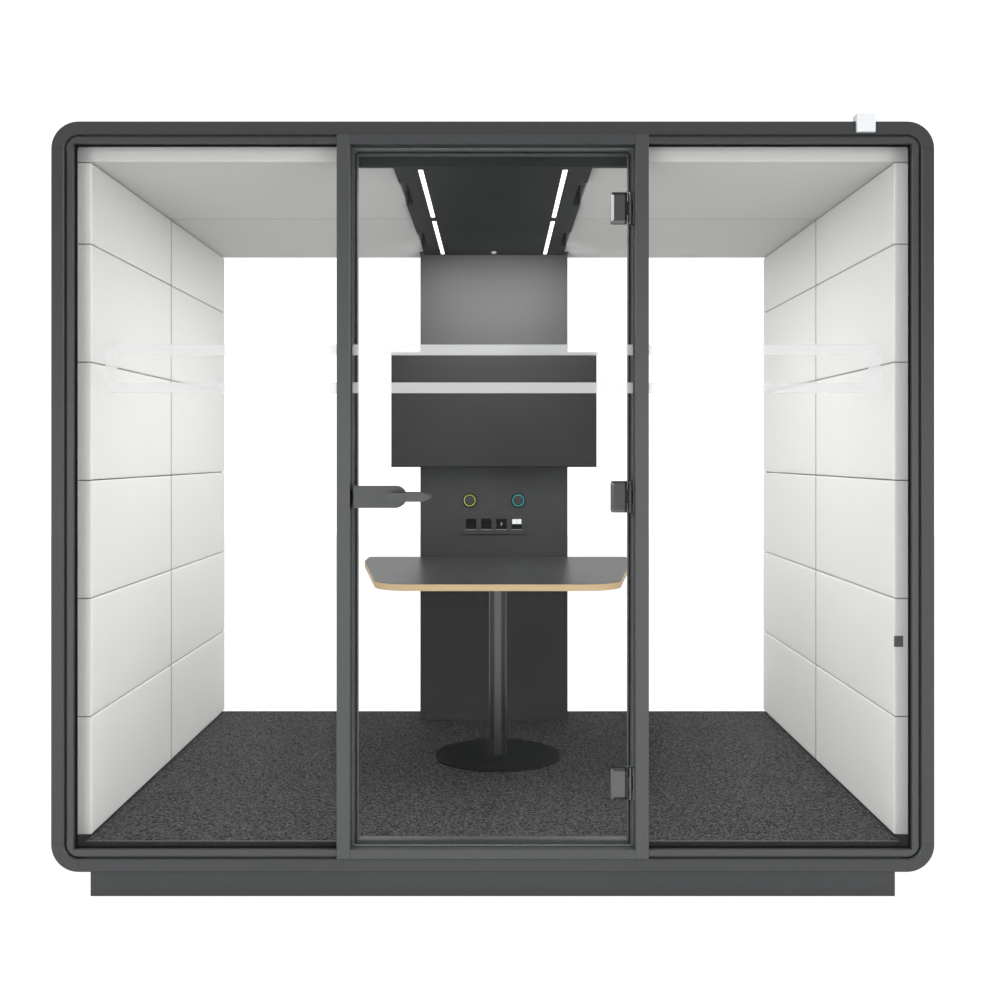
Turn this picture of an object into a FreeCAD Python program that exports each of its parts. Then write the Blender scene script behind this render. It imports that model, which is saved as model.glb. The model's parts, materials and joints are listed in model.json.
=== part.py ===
"""Acoustic office pod: a free-standing meeting room for two people.

Millimetres, +Z up. The origin is on the floor at the middle of the pod, the door faces -Y.
Driving sizes are in the sheet "Sizes"; each piece is bound to them by expressions.
"""
import FreeCAD, Part
import math
import os
import re
import Sketcher

doc = FreeCAD.newDocument("acoustic_pod")
sheet = doc.addObject("Spreadsheet::Sheet", "Sizes")

sizes = {
    # overall
    "pod_width": 2628, "pod_height": 2308, "pod_depth": 1930, "corner_radius": 81,
    # plinth and base
    "plinth_height": 74.5, "plinth_side_inset": 115, "plinth_front_inset": 10, "plinth_board": 18,
    "base_rail_width": 60,
    # frame extrusions: the band seen from the front, its depth and its wall
    "band_width": 38.5, "rail_depth": 85, "rail_wall": 4, "rail_bevel": 3, "corner_seam": 0.6,
    # glazing, measured back from the front face of the frame
    "bead_groove": 5.5, "bead_width": 20, "bead_front": 8, "bead_depth": 16, "bead_foot": 6,
    "bead_round": 3, "bead_corner_leg": 12,
    "gasket_thickness": 4, "gasket_lip": 6, "gasket_cover": 8, "glass_thickness": 10,
    "glass_edge_gap": 14, "stop_width": 22, "stop_depth": 14,
    # floor
    "floor_gap": 1, "board_thickness": 27, "carpet_thickness": 8, "floor_side_inset": 84.5,
    "floor_seam": 1, "nosing_width": 8, "trim_width": 42,
    # fabric pads
    "pad_thickness": 54, "pad_round": 5, "pad_seam": 2, "pad_row_height": 360, "pad_floor_gap": 11,
    "pad_front_gap": 2, "pad_rear_gap": 6, "pad_wall_gap": 2, "pad_edge_gap": 3, "pad_column_gap": 4,
    "pad_top_gap": 3, "ceiling_pad_thickness": 60.5,
    # door frame
    "door_frame_width": 930, "post_width": 40, "post_front": 2, "post_depth": 86, "post_wall": 4,
    "door_head_height": 29.5, "door_sill_height": 27, "door_stop_width": 16.5, "door_stop_depth": 40,
    "sill_stop_height": 14, "glass_channel_depth": 12, "channel_clearance": 2, "seal_width": 5,
    "seal_depth": 6, "seal_gap": 3,
    # door leaf
    "leaf_gap": 5, "leaf_thickness": 10,
    "hinge_axis_gap": 12, "hinge_notch_gap": 4, "hinge_plate_width": 48.5, "hinge_plate_height": 95,
    "hinge_plate_thickness": 6.5, "hinge_plate_round": 7, "hinge_bevel": 9, "hinge_face_round": 3,
    "hinge_low_gap": 185.5, "hinge_middle": 1190, "hinge_high_gap": 180,
    "knuckle_radius": 7, "knuckle_middle": 40, "knuckle_gap": 0.4,
    "hinge_pin_radius": 4, "running_gap": 0.05, "hinge_plate_gap": 4, "hinge_leaf_depth": 14.5,
    # lock and lever
    "lock_length": 157.5, "lock_height": 66, "lock_flat": 0.6, "lock_level": 1190, "lock_end_gap": 9,
    "lock_depth": 14, "lock_cover_depth": 8, "lever_pivot": 119, "lever_length": 110, "lever_back": 14,
    "lever_height": 26, "lever_flat": 0.6, "lever_thickness": 14, "lever_reach": 27,
    "lever_neck_radius": 9, "spindle_radius": 6, "lever_tip": 18, "lever_tip_height": 10,
    "spindle_hole_radius": 14, "lever_gap": 0.3,
    "bolt_height": 18, "bolt_depth": 8, "bolt_nose": 2.5, "bolt_length": 85, "bolt_gap": 0.3,
    "bolt_stroke": 8, "keeper_height": 70, "keeper_depth": 28, "keeper_thickness": 2.5,
    # ceiling canopy
    "canopy_width": 610, "canopy_front_gap": 3, "canopy_drop": 74.5, "canopy_wall": 3, "canopy_top_gap": 2,
    "header_width": 880, "header_depth": 22,
    "vent_depth": 27, "vent_length": 360, "vent_round": 18, "front_vent": -471, "rear_vent": 383,
    "slot_height": 5, "slot_pitch": 12, "slot_margin": 60,
    "light_spacing": 447, "light_width": 15, "light_length": 735, "light_split": 76, "light_flange": 4,
    "light_flange_height": 3, "light_start": 45, "light_fit": 0.2,
    "sensor_radius": 13, "sensor_drop": 8, "sensor_bevel": 5, "sensor_back": 82,
    "fan_size": 60, "fan_depth": 25, "fan_hub_radius": 12, "fan_bore_radius": 28, "fan_shaft_radius": 2,
    "blade_tip_gap": 1, "blade_thickness": 1.6, "blade_width": 14, "spoke_width": 5, "spoke_depth": 4,
    # media column
    "column_width": 648, "column_front": 742, "column_board": 18, "mullion_width": 40,
    "rear_panel_depth": 20, "rear_panel_inset": 12,
    "tv_width": 895, "tv_height": 501, "tv_depth": 41, "tv_glass": 4, "tv_bottom": 1262, "tv_round": 3,
    "tv_bracket_width": 420, "tv_bracket_height": 260, "tv_bracket_depth": 15,
    "button_spacing": 214, "button_level": 1115, "bezel_radius": 31.5, "bezel_height": 4, "bezel_bevel": 1.5,
    "barrel_radius": 23, "barrel_depth": 30, "barrel_floor": 3, "barrel_hole_gap": 0.2, "bore_radius": 20,
    "button_gap": 0.3, "button_proud": 5.5, "button_length": 25, "button_bevel": 0.6,
    "ring_inner": 23.5, "ring_outer": 26, "ring_depth": 2.5, "ring_proud": 0.6,
    "plate_width": 283, "plate_height": 79, "plate_level": 1006, "plate_thickness": 4, "plate_round": 3,
    "module_size": 46, "module_pitch": 67, "module_level": 1012, "module_depth": 28, "module_fit": 0.2,
    "module_recess": 1.2, "socket_radius": 18, "socket_depth": 12,
    "port_width": 16, "port_height": 12, "usb_width": 6, "usb_height": 14, "port_depth": 10,
    "rocker_width": 40, "rocker_height": 21, "rocker_rise": 10, "rocker_depth": 10, "rocker_gap": 0.8,
    "rocker_pin_radius": 1.5, "rocker_proud": 1,
    # table
    "table_offset": 16, "table_level": 869, "table_thickness": 24, "laminate": 1.2, "table_width": 1122,
    "table_front_width": 838, "table_front": -390, "table_rear": 720, "table_taper_start": 518,
    "table_front_round": 140, "table_side_round": 300, "table_rear_round": 20,
    "leg_place": 120, "leg_radius": 34, "leg_wall": 3,
    "foot_radius": 244, "foot_thickness": 9, "foot_bevel": 3,
    "spider_size": 300, "spider_thickness": 6, "spider_round": 20,
    # status light and power inlet
    "status_end_gap": 207, "status_width": 55, "status_drop": 34, "status_rise": 20, "status_proud": 12,
    "status_reach": 30, "status_round": 5,
    "inlet_width": 48, "inlet_height": 28, "inlet_depth": 6, "inlet_level": 225, "inlet_recess": 4,
    "inlet_rim": 4,
}
pad_rows = 6
blade_count = 7
blade_tilt = 35
slot_count = 3

for row, (alias, amount) in enumerate(sizes.items(), start=1):
    sheet.set(f"A{row}", alias)
    sheet.set(f"B{row}", str(amount))
    sheet.setAlias(f"B{row}", alias)
doc.recompute()

# lengths and places worked out from the driving sizes
derived = {
    "half_width": "pod_width / 2", "half_depth": "pod_depth / 2", "front": "-half_depth",
    "inner_round": "corner_radius - band_width",
    "wall_face": "half_width - band_width", "roof_face": "pod_height - band_width",
    "pan_top": "plinth_height + band_width", "board_top": "pan_top + board_thickness",
    "carpet_top": "board_top + carpet_thickness",
    "shell_half": "half_depth - rail_depth",
    "bead_start": "band_width + bead_groove", "bead_end": "bead_start + bead_width",
    "bead_back": "bead_front + bead_depth", "glass_front": "bead_back + gasket_thickness",
    "glass_back": "glass_front + glass_thickness", "stop_front": "glass_back + gasket_thickness",
    "stop_back": "stop_front + stop_depth", "stop_end": "band_width + stop_width",
    "glass_edge": "band_width + glass_edge_gap", "gasket_end": "bead_end + gasket_lip",
    "gasket_start": "bead_end - gasket_cover", "floor_front": "half_depth - stop_back - floor_gap",
    "floor_half": "half_width - floor_side_inset",
    "trim_front": "nosing_width - floor_front", "trim_back": "trim_front + trim_width",
    "pad_face": "wall_face - pad_thickness", "pad_front": "pad_front_gap - shell_half",
    "pad_rear": "half_depth - stop_back - pad_rear_gap", "pad_middle": "(pad_front + pad_rear) / 2",
    "pad_bottom": "carpet_top + pad_floor_gap", "ceiling_face": "roof_face - ceiling_pad_thickness",
    "pad_top": "ceiling_face - pad_top_gap",
    "door_half": "door_frame_width / 2", "opening_half": "door_half - post_width",
    "door_y": "front + post_front", "door_frame_back": "door_y + post_depth",
    "stop_y": "door_frame_back - door_stop_depth", "opening_low": "pan_top + door_sill_height",
    "opening_high": "roof_face - door_head_height", "leaf_half": "opening_half - leaf_gap",
    "leaf_low": "opening_low + leaf_gap", "leaf_high": "opening_high - leaf_gap",
    "leaf_y": "front + glass_front", "leaf_back": "leaf_y + leaf_thickness",
    "axis_x": "opening_half - hinge_axis_gap", "axis_y": "leaf_y + leaf_thickness / 2",
    "hinge_low": "leaf_low + hinge_low_gap", "hinge_high": "leaf_high - hinge_high_gap",
    "notch_x": "hinge_plate_x - hinge_notch_gap",
    "hinge_plate_x": "axis_x - knuckle_radius - hinge_plate_gap",
    "lock_left": "lock_end_gap - opening_half", "lock_right": "lock_left + lock_length",
    "lock_round": "(lock_height - lock_flat) / 2", "lever_round": "(lever_height - lever_flat) / 2",
    "lock_y": "leaf_y - lock_depth", "cover_y": "leaf_back + lock_cover_depth",
    "lever_x": "lock_left + lever_pivot", "bolt_y": "lock_y + lock_depth / 2",
    "canopy_half": "canopy_width / 2", "canopy_low": "roof_face - canopy_drop",
    "canopy_high": "roof_face - canopy_top_gap", "canopy_front": "door_frame_back + canopy_front_gap",
    "canopy_skin": "canopy_low + canopy_wall", "vent_x": "canopy_half - vent_depth",
    "header_half": "header_width / 2", "header_back": "canopy_front + header_depth",
    "column_half": "column_width / 2", "column_high": "roof_face - canopy_top_gap",
    "mullion_inner": "column_half - mullion_width", "column_back": "half_depth - stop_back - floor_gap",
    "tv_back": "column_front - tv_bracket_depth", "tv_front": "tv_back - tv_depth",
    "tv_middle": "tv_bottom + tv_height / 2", "plate_y": "column_front - plate_thickness",
    "rocker_z": "module_level + rocker_rise", "status_x": "half_width - status_end_gap",
    "table_under": "table_level - table_thickness", "foot_top": "carpet_top + foot_thickness",
    "spider_low": "table_under - spider_thickness",
}


def formula(text):
    """Turn a text of size names into an expression on the sheet."""
    def spell(match):
        word = match.group(0)
        if word in derived:
            return "(" + formula(derived[word]) + ")"
        return "Sizes." + word if word in sizes else word
    return re.sub(r"[a-z]\w*", spell, str(text))


def number(text):
    return float(sheet.evalExpression(formula(text)))


def bind(item, path, text):
    item.setExpression(path, formula(text))


def place(item, x="0", y="0", z="0", rotation=None):
    """Bind the place of an object, with a fixed rotation if one is given."""
    if rotation:
        item.Placement = FreeCAD.Placement(FreeCAD.Vector(), rotation)
    for axis, text in zip("xyz", (x, y, z)):
        bind(item, f".Placement.Base.{axis}", text)
    return item


def turned(x, y, z, angle):
    return FreeCAD.Rotation(FreeCAD.Vector(x, y, z), angle)


along_x = turned(0, 1, 0, 90)
along_y = turned(1, 0, 0, -90)


def box(name, low, high):
    """A block between two corners."""
    item = doc.addObject("Part::Box", name)
    for side, start, end in zip(("Length", "Width", "Height"), low, high):
        bind(item, side, f"({end}) - ({start})")
    return place(item, *low)


def rod(name, radius, length, x, y, z, rotation=None):
    """A cylinder from a centre point along +Z, or along the turned axis."""
    item = doc.addObject("Part::Cylinder", name)
    bind(item, "Radius", radius)
    bind(item, "Height", length)
    return place(item, x, y, z, rotation)


def group(name, items):
    item = doc.addObject("Part::Compound", name)
    item.Links = items
    return item


def fuse(name, items):
    item = doc.addObject("Part::MultiFuse", name)
    item.Shapes = items
    item.Refine = True
    return item


def cut(name, base, tools):
    item = doc.addObject("Part::Cut", name)
    item.Base = base
    item.Tool = tools[0] if len(tools) == 1 else group(name + "_tools", tools)
    return item


def mirror(name, source, normal):
    item = doc.addObject("Part::Mirroring", name)
    item.Source = source
    item.Normal = FreeCAD.Vector(*normal)
    return item


class Outline:
    """Closed loops of a sketch, each corner bound to the sheet: (x, y) or (x, y, radius)."""

    def __init__(self, sketch):
        self.sketch = sketch
        self.bound = []

    def fix(self, kind, geometry, point, text):
        """Bind the distance of a point from the sketch origin along one axis."""
        self.rule((kind, -1, 1, geometry, point, number(text)), text)

    def rule(self, words, text=None):
        index = self.sketch.addConstraint(Sketcher.Constraint(*words))
        if text is not None:
            self.bound.append((index, text))

    def circle(self, x, y, radius):
        centre = FreeCAD.Vector(number(x), number(y), 0)
        ring = Part.Circle(centre, FreeCAD.Vector(0, 0, 1), number(radius))
        index = self.sketch.addGeometry(ring)
        self.fix("DistanceX", index, 3, x)
        self.fix("DistanceY", index, 3, y)
        self.rule(("Radius", index, number(radius)), radius)

    def loop(self, corners):
        spots = [FreeCAD.Vector(number(corner[0]), number(corner[1]), 0) for corner in corners]
        rounds = [number(corner[2]) if len(corner) > 2 else 0 for corner in corners]
        count = len(corners)
        arrive, leave = [], []
        for index, spot in enumerate(spots):
            back = (spots[index - 1] - spot).normalize()
            ahead = (spots[(index + 1) % count] - spot).normalize()
            reach = rounds[index] / math.tan(back.getAngle(ahead) / 2)
            arrive.append(spot + back * reach)
            leave.append(spot + ahead * reach)
        sides = [self.sketch.addGeometry(Part.LineSegment(leave[index], arrive[(index + 1) % count]))
                 for index in range(count)]
        for index, corner in enumerate(corners):
            before, after = sides[index - 1], sides[index]
            if rounds[index] == 0:
                self.rule(("Coincident", before, 2, after, 1))
                self.fix("DistanceX", after, 1, corner[0])
                self.fix("DistanceY", after, 1, corner[1])
            else:
                self.soften(before, after, arrive[index], leave[index], spots[index], corner)

    def soften(self, before, after, start, end, spot, corner):
        """Join two sides by an arc that stays tangent to both; a helper point keeps the sharp corner."""
        inward = (start - spot) + (end - spot)
        half = inward.getAngle(start - spot)
        centre = spot + inward.normalize() * (number(corner[2]) / math.sin(half))
        left_turn = (spot - start).cross(end - spot).z > 0
        first, last = (start, end) if left_turn else (end, start)
        angles = [math.atan2((tip - centre).y, (tip - centre).x) for tip in (first, last)]
        ring = Part.Circle(centre, FreeCAD.Vector(0, 0, 1), number(corner[2]))
        arc = self.sketch.addGeometry(Part.ArcOfCircle(ring, *angles))
        self.rule(("Tangent", before, 2, arc, 1 if left_turn else 2))
        self.rule(("Tangent", after, 1, arc, 2 if left_turn else 1))
        self.rule(("Radius", arc, number(corner[2])), corner[2])
        helper = self.sketch.addGeometry(Part.Point(spot), True)
        self.rule(("PointOnObject", helper, 1, before))
        self.rule(("PointOnObject", helper, 1, after))
        self.fix("DistanceX", helper, 1, corner[0])
        self.fix("DistanceY", helper, 1, corner[1])

    def finish(self):
        for index, text in self.bound:
            bind(self.sketch, f"Constraints[{index}]", text)


def sketch_on(body, role, loops, offset="0"):
    """A sketch on one of the body's own planes; a loop is a list of corners or a circle tuple."""
    sketch = body.newObject("Sketcher::SketchObject", body.Name + "_sketch")
    plane = next(item for item in body.Origin.OriginFeatures if item.Role == role)
    sketch.AttachmentSupport = [(plane, "")]
    sketch.MapMode = "FlatFace"
    bind(sketch, ".AttachmentOffset.Base.z", offset)
    outline = Outline(sketch)
    for item in loops:
        if isinstance(item, tuple):
            outline.circle(*item)
        else:
            outline.loop(item)
    outline.finish()
    return sketch


def plate(name, role, loops, start, end):
    """An outline on a principal plane, padded between two places on the third axis."""
    body = doc.addObject("PartDesign::Body", name)
    backwards = role == "XZ_Plane"
    sketch = sketch_on(body, role, loops, f"-({start})" if backwards else start)
    pad = body.newObject("PartDesign::Pad", name + "_pad")
    pad.Profile = sketch
    pad.Reversed = backwards
    bind(pad, "Length", f"({end}) - ({start})")
    return body


def lathe(name, loops, angle="360"):
    """A profile in radius and height turned about the body's own Y axis."""
    body = doc.addObject("PartDesign::Body", name)
    sketch = sketch_on(body, "XY_Plane", loops)
    turn = body.newObject("PartDesign::Revolution", name + "_turn")
    turn.Profile = sketch
    turn.ReferenceAxis = (sketch, ["V_Axis"])
    bind(turn, "Angle", angle)
    return body


def loft(name, first, last, start, end):
    """Straight walls between two outlines that stand across Y at two places."""
    body = doc.addObject("PartDesign::Body", name)
    base = sketch_on(body, "XZ_Plane", [first], f"-({start})")
    face = sketch_on(body, "XZ_Plane", [last], f"-({end})")
    skin = body.newObject("PartDesign::AdditiveLoft", name + "_loft")
    skin.Profile = base
    skin.Sections = [face]
    skin.Ruled = True
    return body


def soft_box(name, low, high, radius, face=None):
    """A block with every edge rounded, or only the edges of one face."""
    body = doc.addObject("PartDesign::Body", name)
    block = body.newObject("PartDesign::AdditiveBox", name + "_block")
    for side, start, end in zip(("Length", "Width", "Height"), low, high):
        bind(block, side, f"({end}) - ({start})")
    doc.recompute()
    edge = body.newObject("PartDesign::Fillet", name + "_edges")
    edge.Base = (block, [face or "Face1"])
    edge.UseAllEdges = face is None
    bind(edge, "Radius", radius)
    return place(body, *low)


def oblong(x0, y0, x1, y1, radius=None):
    """Corners of a rectangle, rounded alike if a radius is given."""
    tail = (radius,) if radius else ()
    return [(x0, y0) + tail, (x1, y0) + tail, (x1, y1) + tail, (x0, y1) + tail]


# the four sides of the frame: turn about Y, place of the outer edge and direction of travel
side_turn = {"left": 0, "top": 90, "right": 180, "bottom": 270}


def strip(name, side, profile, start, end):
    """A straight length of profile on one side of the front frame.

    The profile is drawn inward from the outer edge (x) and back from the front face (y).
    """
    body = doc.addObject("PartDesign::Body", name)
    sketch = sketch_on(body, "XY_Plane", profile)
    pad = body.newObject("PartDesign::Pad", name + "_pad")
    pad.Profile = sketch
    bind(pad, "Length", f"({end}) - ({start})" if side in ("left", "top") else f"({start}) - ({end})")
    spots = {"left": ("-half_width", "front", start), "top": (start, "front", "pod_height"),
             "right": ("half_width", "front", start), "bottom": (start, "front", "plinth_height")}
    return place(body, *spots[side], turned(0, 1, 0, side_turn[side]))


nodes = {}


def keep(item):
    """Register a finished piece; its label is the name of its node."""
    nodes[item.Label] = item
    return item


# base: plinth boards on the floor, rails inside them, floor pan, board and carpet
plinth_x = "half_width - plinth_side_inset"
plinth_y = "half_depth - plinth_front_inset"
plinth_boards = []
for label, sign in (("front", "-1"), ("rear", "1")):
    edges = sorted((f"{sign} * ({plinth_y})", f"{sign} * ({plinth_y} - plinth_board)"), key=number)
    plinth_boards.append(box(f"plinth_{label}", (f"-({plinth_x})", edges[0], "0"),
                             (plinth_x, edges[1], "plinth_height")))
for label, sign in (("left", "-1"), ("right", "1")):
    edges = sorted((f"{sign} * ({plinth_x})", f"{sign} * ({plinth_x} - plinth_board)"), key=number)
    plinth_boards.append(box(f"plinth_{label}", (edges[0], f"plinth_board - ({plinth_y})", "0"),
                             (edges[1], f"{plinth_y} - plinth_board", "plinth_height")))
keep(group("plinth_boards", plinth_boards))

base_rails = []
rail_line = f"{plinth_y} - plinth_board - base_rail_width"
for label, middle in (("front", f"-({rail_line})"), ("middle", "0"), ("rear", rail_line)):
    base_rails.append(box(f"base_rail_{label}",
                          (f"plinth_board - ({plinth_x})", f"{middle} - base_rail_width / 2", "0"),
                          (f"{plinth_x} - plinth_board", f"{middle} + base_rail_width / 2", "plinth_height")))
keep(group("base_rails", base_rails))

halves = (("front", "-1"), ("rear", "1"))


def two_halves(name, low_x, high_x, low_z, high_z):
    """Two panels side by side along Y, between the frames, with a seam at mid depth."""
    items = []
    for label, sign in halves:
        edges = sorted((f"{sign} * shell_half", f"{sign} * floor_seam / 2"), key=number)
        items.append(box(f"{name}_{label}", (low_x, edges[0], low_z), (high_x, edges[1], high_z)))
    return items


straight_x = "half_width - corner_radius"
straight_low = "plinth_height + corner_radius"
straight_high = "pod_height - corner_radius"
level_span = (f"-({straight_x})", straight_x)
upright_span = (straight_low, straight_high)
keep(group("floor_pan", two_halves("pan", *level_span, "plinth_height", "pan_top")))
keep(group("roof_panels", two_halves("roof", *level_span, "roof_face", "pod_height")))
keep(group("side_panels", two_halves("left_side", "-half_width", "-wall_face", *upright_span)
           + two_halves("right_side", "wall_face", "half_width", *upright_span)))


def floor_layer(name, low, high, inner, threshold):
    """Two halves of a floor layer; the front one is cut back round the posts and at the threshold."""
    seam = "-floor_seam / 2"
    outer, notch = "door_half + floor_gap", "door_frame_back + floor_gap"
    post = [(outer, "trim_front"), (outer, notch), (inner, notch), (inner, threshold)]
    front_edge = [("floor_half", seam), ("-floor_half", seam), ("-floor_half", "trim_front")]
    front_edge += [(f"-({x})", y) for x, y in post] + post[::-1]
    front_edge.append(("floor_half", "trim_front"))
    return keep(group(name, [
        plate(name + "_front", "XY_Plane", [front_edge], low, high),
        box(name + "_rear", ("-floor_half", "floor_seam / 2", low), ("floor_half", "floor_front", high))]))


trim_half = "opening_half - door_stop_width - floor_gap"
floor_layer("floor_board", "pan_top", "board_top", trim_half, "-floor_front")
floor_layer("carpet_tiles", "board_top", "carpet_top", f"{trim_half} + floor_gap", "trim_back + floor_gap")
trims = [box("doorway_trim", (f"-({trim_half})", "trim_front", "board_top"),
             (trim_half, "trim_back", "carpet_top"))]
for label, sign in (("left", "-1"), ("right", "1")):
    ends = sorted((f"{sign} * (door_half + floor_gap)", f"{sign} * floor_half"), key=number)
    trims.append(box(f"floor_nosing_{label}", (ends[0], "-floor_front", "pan_top"),
                     (ends[1], "trim_front", "carpet_top")))
keep(group("sill_strips", trims))

# shell: quarter-round edge rails along the four long edges
edge_rails = []
quarter = FreeCAD.Rotation(FreeCAD.Vector(-1, 0, 0), FreeCAD.Vector(0, 0, 1), FreeCAD.Vector(0, 1, 0), "XYZ")
corner_spots = (("top_left", f"-({straight_x})", straight_high), ("top_right", straight_x, straight_high),
                ("low_right", straight_x, straight_low), ("low_left", f"-({straight_x})", straight_low))
for count, (label, x, z) in enumerate(corner_spots):
    spin = turned(0, 1, 0, 90 * count).multiply(quarter)
    wedges = []
    for part, radius in (("outer", "corner_radius"), ("inner", "inner_round")):
        wedge = rod(f"edge_rail_{label}_{part}", radius, "2 * shell_half", x, "-shell_half", z, spin)
        wedge.Angle = 90
        wedges.append(wedge)
    edge_rails.append(cut(f"edge_rail_{label}", wedges[0], [wedges[1]]))
keep(group("edge_rails", edge_rails))

# front frame: hollow rails with rounded corner pieces, and the same frame at the rear
chamber = ("rail_wall", "rail_wall", "band_width - rail_wall", "rail_depth - rail_wall")


def rail_profile(shift="0"):
    """Section of the frame rail, drawn inward from the outer edge."""
    x0, x1 = f"0 - ({shift})", f"band_width - ({shift})"
    band = [(x0, "rail_bevel"), (f"{x0} + rail_bevel", "0"), (f"{x1} - rail_bevel", "0"), (x1, "rail_bevel"),
            (x1, "rail_depth"), (x0, "rail_depth")]
    return [band, oblong(f"{chamber[0]} - ({shift})", chamber[1], f"{chamber[2]} - ({shift})", chamber[3])]


rail_low, rail_high = f"{straight_low} + corner_seam", f"{straight_high} - corner_seam"
rail_x = f"{straight_x} - corner_seam"
front_rails = group("front_frame_rails", [
    strip("front_rail_left", "left", rail_profile(), rail_low, rail_high),
    strip("front_rail_top", "top", rail_profile(), f"-({rail_x})", rail_x),
    strip("front_rail_right", "right", rail_profile(), rail_high, rail_low),
    strip("front_rail_bottom", "bottom", rail_profile(), rail_x, f"-({rail_x})")])
frame_corners = []
for count, (label, x, z) in enumerate(corner_spots):
    corner = lathe(f"front_corner_{label}", rail_profile("corner_radius"), "90")
    frame_corners.append(place(corner, x, "front", z, turned(0, 1, 0, 90 * count)))
front_corners = group("front_frame_corners", frame_corners)
backwards = (0, 1, 0)
keep(group("frame_rails", [front_rails, mirror("rear_frame_rails", front_rails, backwards)]))
keep(group("frame_corners", [front_corners, mirror("rear_frame_corners", front_corners, backwards)]))

# glazing: beads in front of the panes, stops behind them, gaskets on both faces
bead_profile = [[("band_width", "bead_back - bead_foot"), ("bead_start", "bead_back - bead_foot"),
                 ("bead_start", "bead_front", "bead_round"), ("bead_end", "bead_front", "bead_round"),
                 ("bead_end", "bead_back"), ("band_width", "bead_back")]]
stop_profile = [oblong("band_width", "stop_front", "stop_end", "stop_back")]
front_gasket = [oblong("gasket_start", "bead_back", "gasket_end", "glass_front")]
back_gasket = [oblong("glass_edge", "glass_back", "stop_end", "stop_front")]
bead_corner = "corner_radius + bead_corner_leg"


def glazing_strips(name, profile, inner, across, upright):
    """Six lengths round two panes: outer upright, top and bottom on each side of the middle bay."""
    low, high = f"plinth_height + {upright}", f"pod_height - ({upright})"
    far = f"half_width - ({across})"
    runs = (("left", low, high), ("right", high, low),
            ("top", f"-({far})", f"-{inner}"), ("top", inner, far),
            ("bottom", far, inner), ("bottom", f"-{inner}", f"-({far})"))
    return [strip(f"{name}_{count}", side, profile, start, end)
            for count, (side, start, end) in enumerate(runs, start=1)]


def bead_corners(name):
    """Corner blocks of the bead frame: round outside, square inside."""
    outer = "corner_radius - bead_start"
    items = []
    from_top, from_base = "pod_height - ({})", "plinth_height + {}"
    for label, sign, level in (("top_left", "-1", from_top), ("top_right", "1", from_top),
                               ("low_left", "-1", from_base), ("low_right", "1", from_base)):
        spots = [("bead_start", bead_corner), ("bead_start", "bead_start", outer),
                 (bead_corner, "bead_start"), (bead_corner, "bead_end"), ("bead_end", "bead_end"),
                 ("bead_end", bead_corner)]
        corners = [(f"{sign} * (half_width - ({spot[0]}))", level.format(spot[1])) + spot[2:]
                   for spot in spots]
        items.append(plate(f"{name}_{label}", "XZ_Plane", [corners], "front + bead_front",
                           "front + bead_back"))
    return items


def glazing(end, inner):
    """Beads, stops and gaskets of one end of the pod, drawn at the front."""
    beads = glazing_strips(f"{end}_bead", bead_profile, inner, bead_corner, bead_corner)
    stops = glazing_strips(f"{end}_stop", stop_profile, inner, "corner_radius", "corner_radius")
    gaskets = glazing_strips(f"{end}_gasket", front_gasket, inner, "gasket_start", "gasket_end")
    gaskets += glazing_strips(f"{end}_back_gasket", back_gasket, inner, "corner_radius", "corner_radius")
    beads += bead_corners(f"{end}_bead_corner")
    return {"glazing_beads": beads, "glazing_stops": stops, "glass_gaskets": gaskets}


rear_glazing = glazing("rear", "column_half")
for label, items in glazing("front", "door_half").items():
    rear = mirror(f"rear_{label}", group(f"rear_{label}_drawn", rear_glazing[label]), backwards)
    keep(group(label, items + [rear]))

pane_low, pane_high = "plinth_height + glass_edge", "pod_height - glass_edge"
pane_far = "half_width - glass_edge"
channel_reach = "glass_channel_depth - channel_clearance"
front_near = f"door_half - ({channel_reach})"
glass_y = ("front + glass_front", "front + glass_back")
rear_near = f"column_half - ({channel_reach})"
rear_y = ("half_depth - glass_back", "half_depth - glass_front")
panes = []
for end, near, (start, stop) in (("front", front_near, glass_y), ("rear", rear_near, rear_y)):
    panes.append(box(f"{end}_glass_left", (f"-({pane_far})", start, pane_low),
                     (f"-({near})", stop, pane_high)))
    panes.append(box(f"{end}_glass_right", (near, start, pane_low), (pane_far, stop, pane_high)))
keep(group("glass_panes", panes))

# fabric pads on both walls and the ceiling
pad_columns = (("front", "pad_front", "pad_middle - pad_seam / 2"),
               ("rear", "pad_middle + pad_seam / 2", "pad_rear"))
pads = []
for side, sign, room_face in (("left", "-1", "Face2"), ("right", "1", "Face1")):
    faces = sorted((f"{sign} * pad_face", f"{sign} * wall_face"), key=number)
    for row in range(pad_rows):
        low = f"pad_bottom + {row} * pad_row_height"
        high = f"{low} + pad_row_height - pad_seam" if row < pad_rows - 1 else "pad_top"
        for column, start, end in pad_columns:
            pads.append(soft_box(f"{side}_pad_{row + 1}_{column}", (faces[0], start, low),
                                 (faces[1], end, high), "pad_round", room_face))
keep(group("wall_pads", pads))

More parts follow.
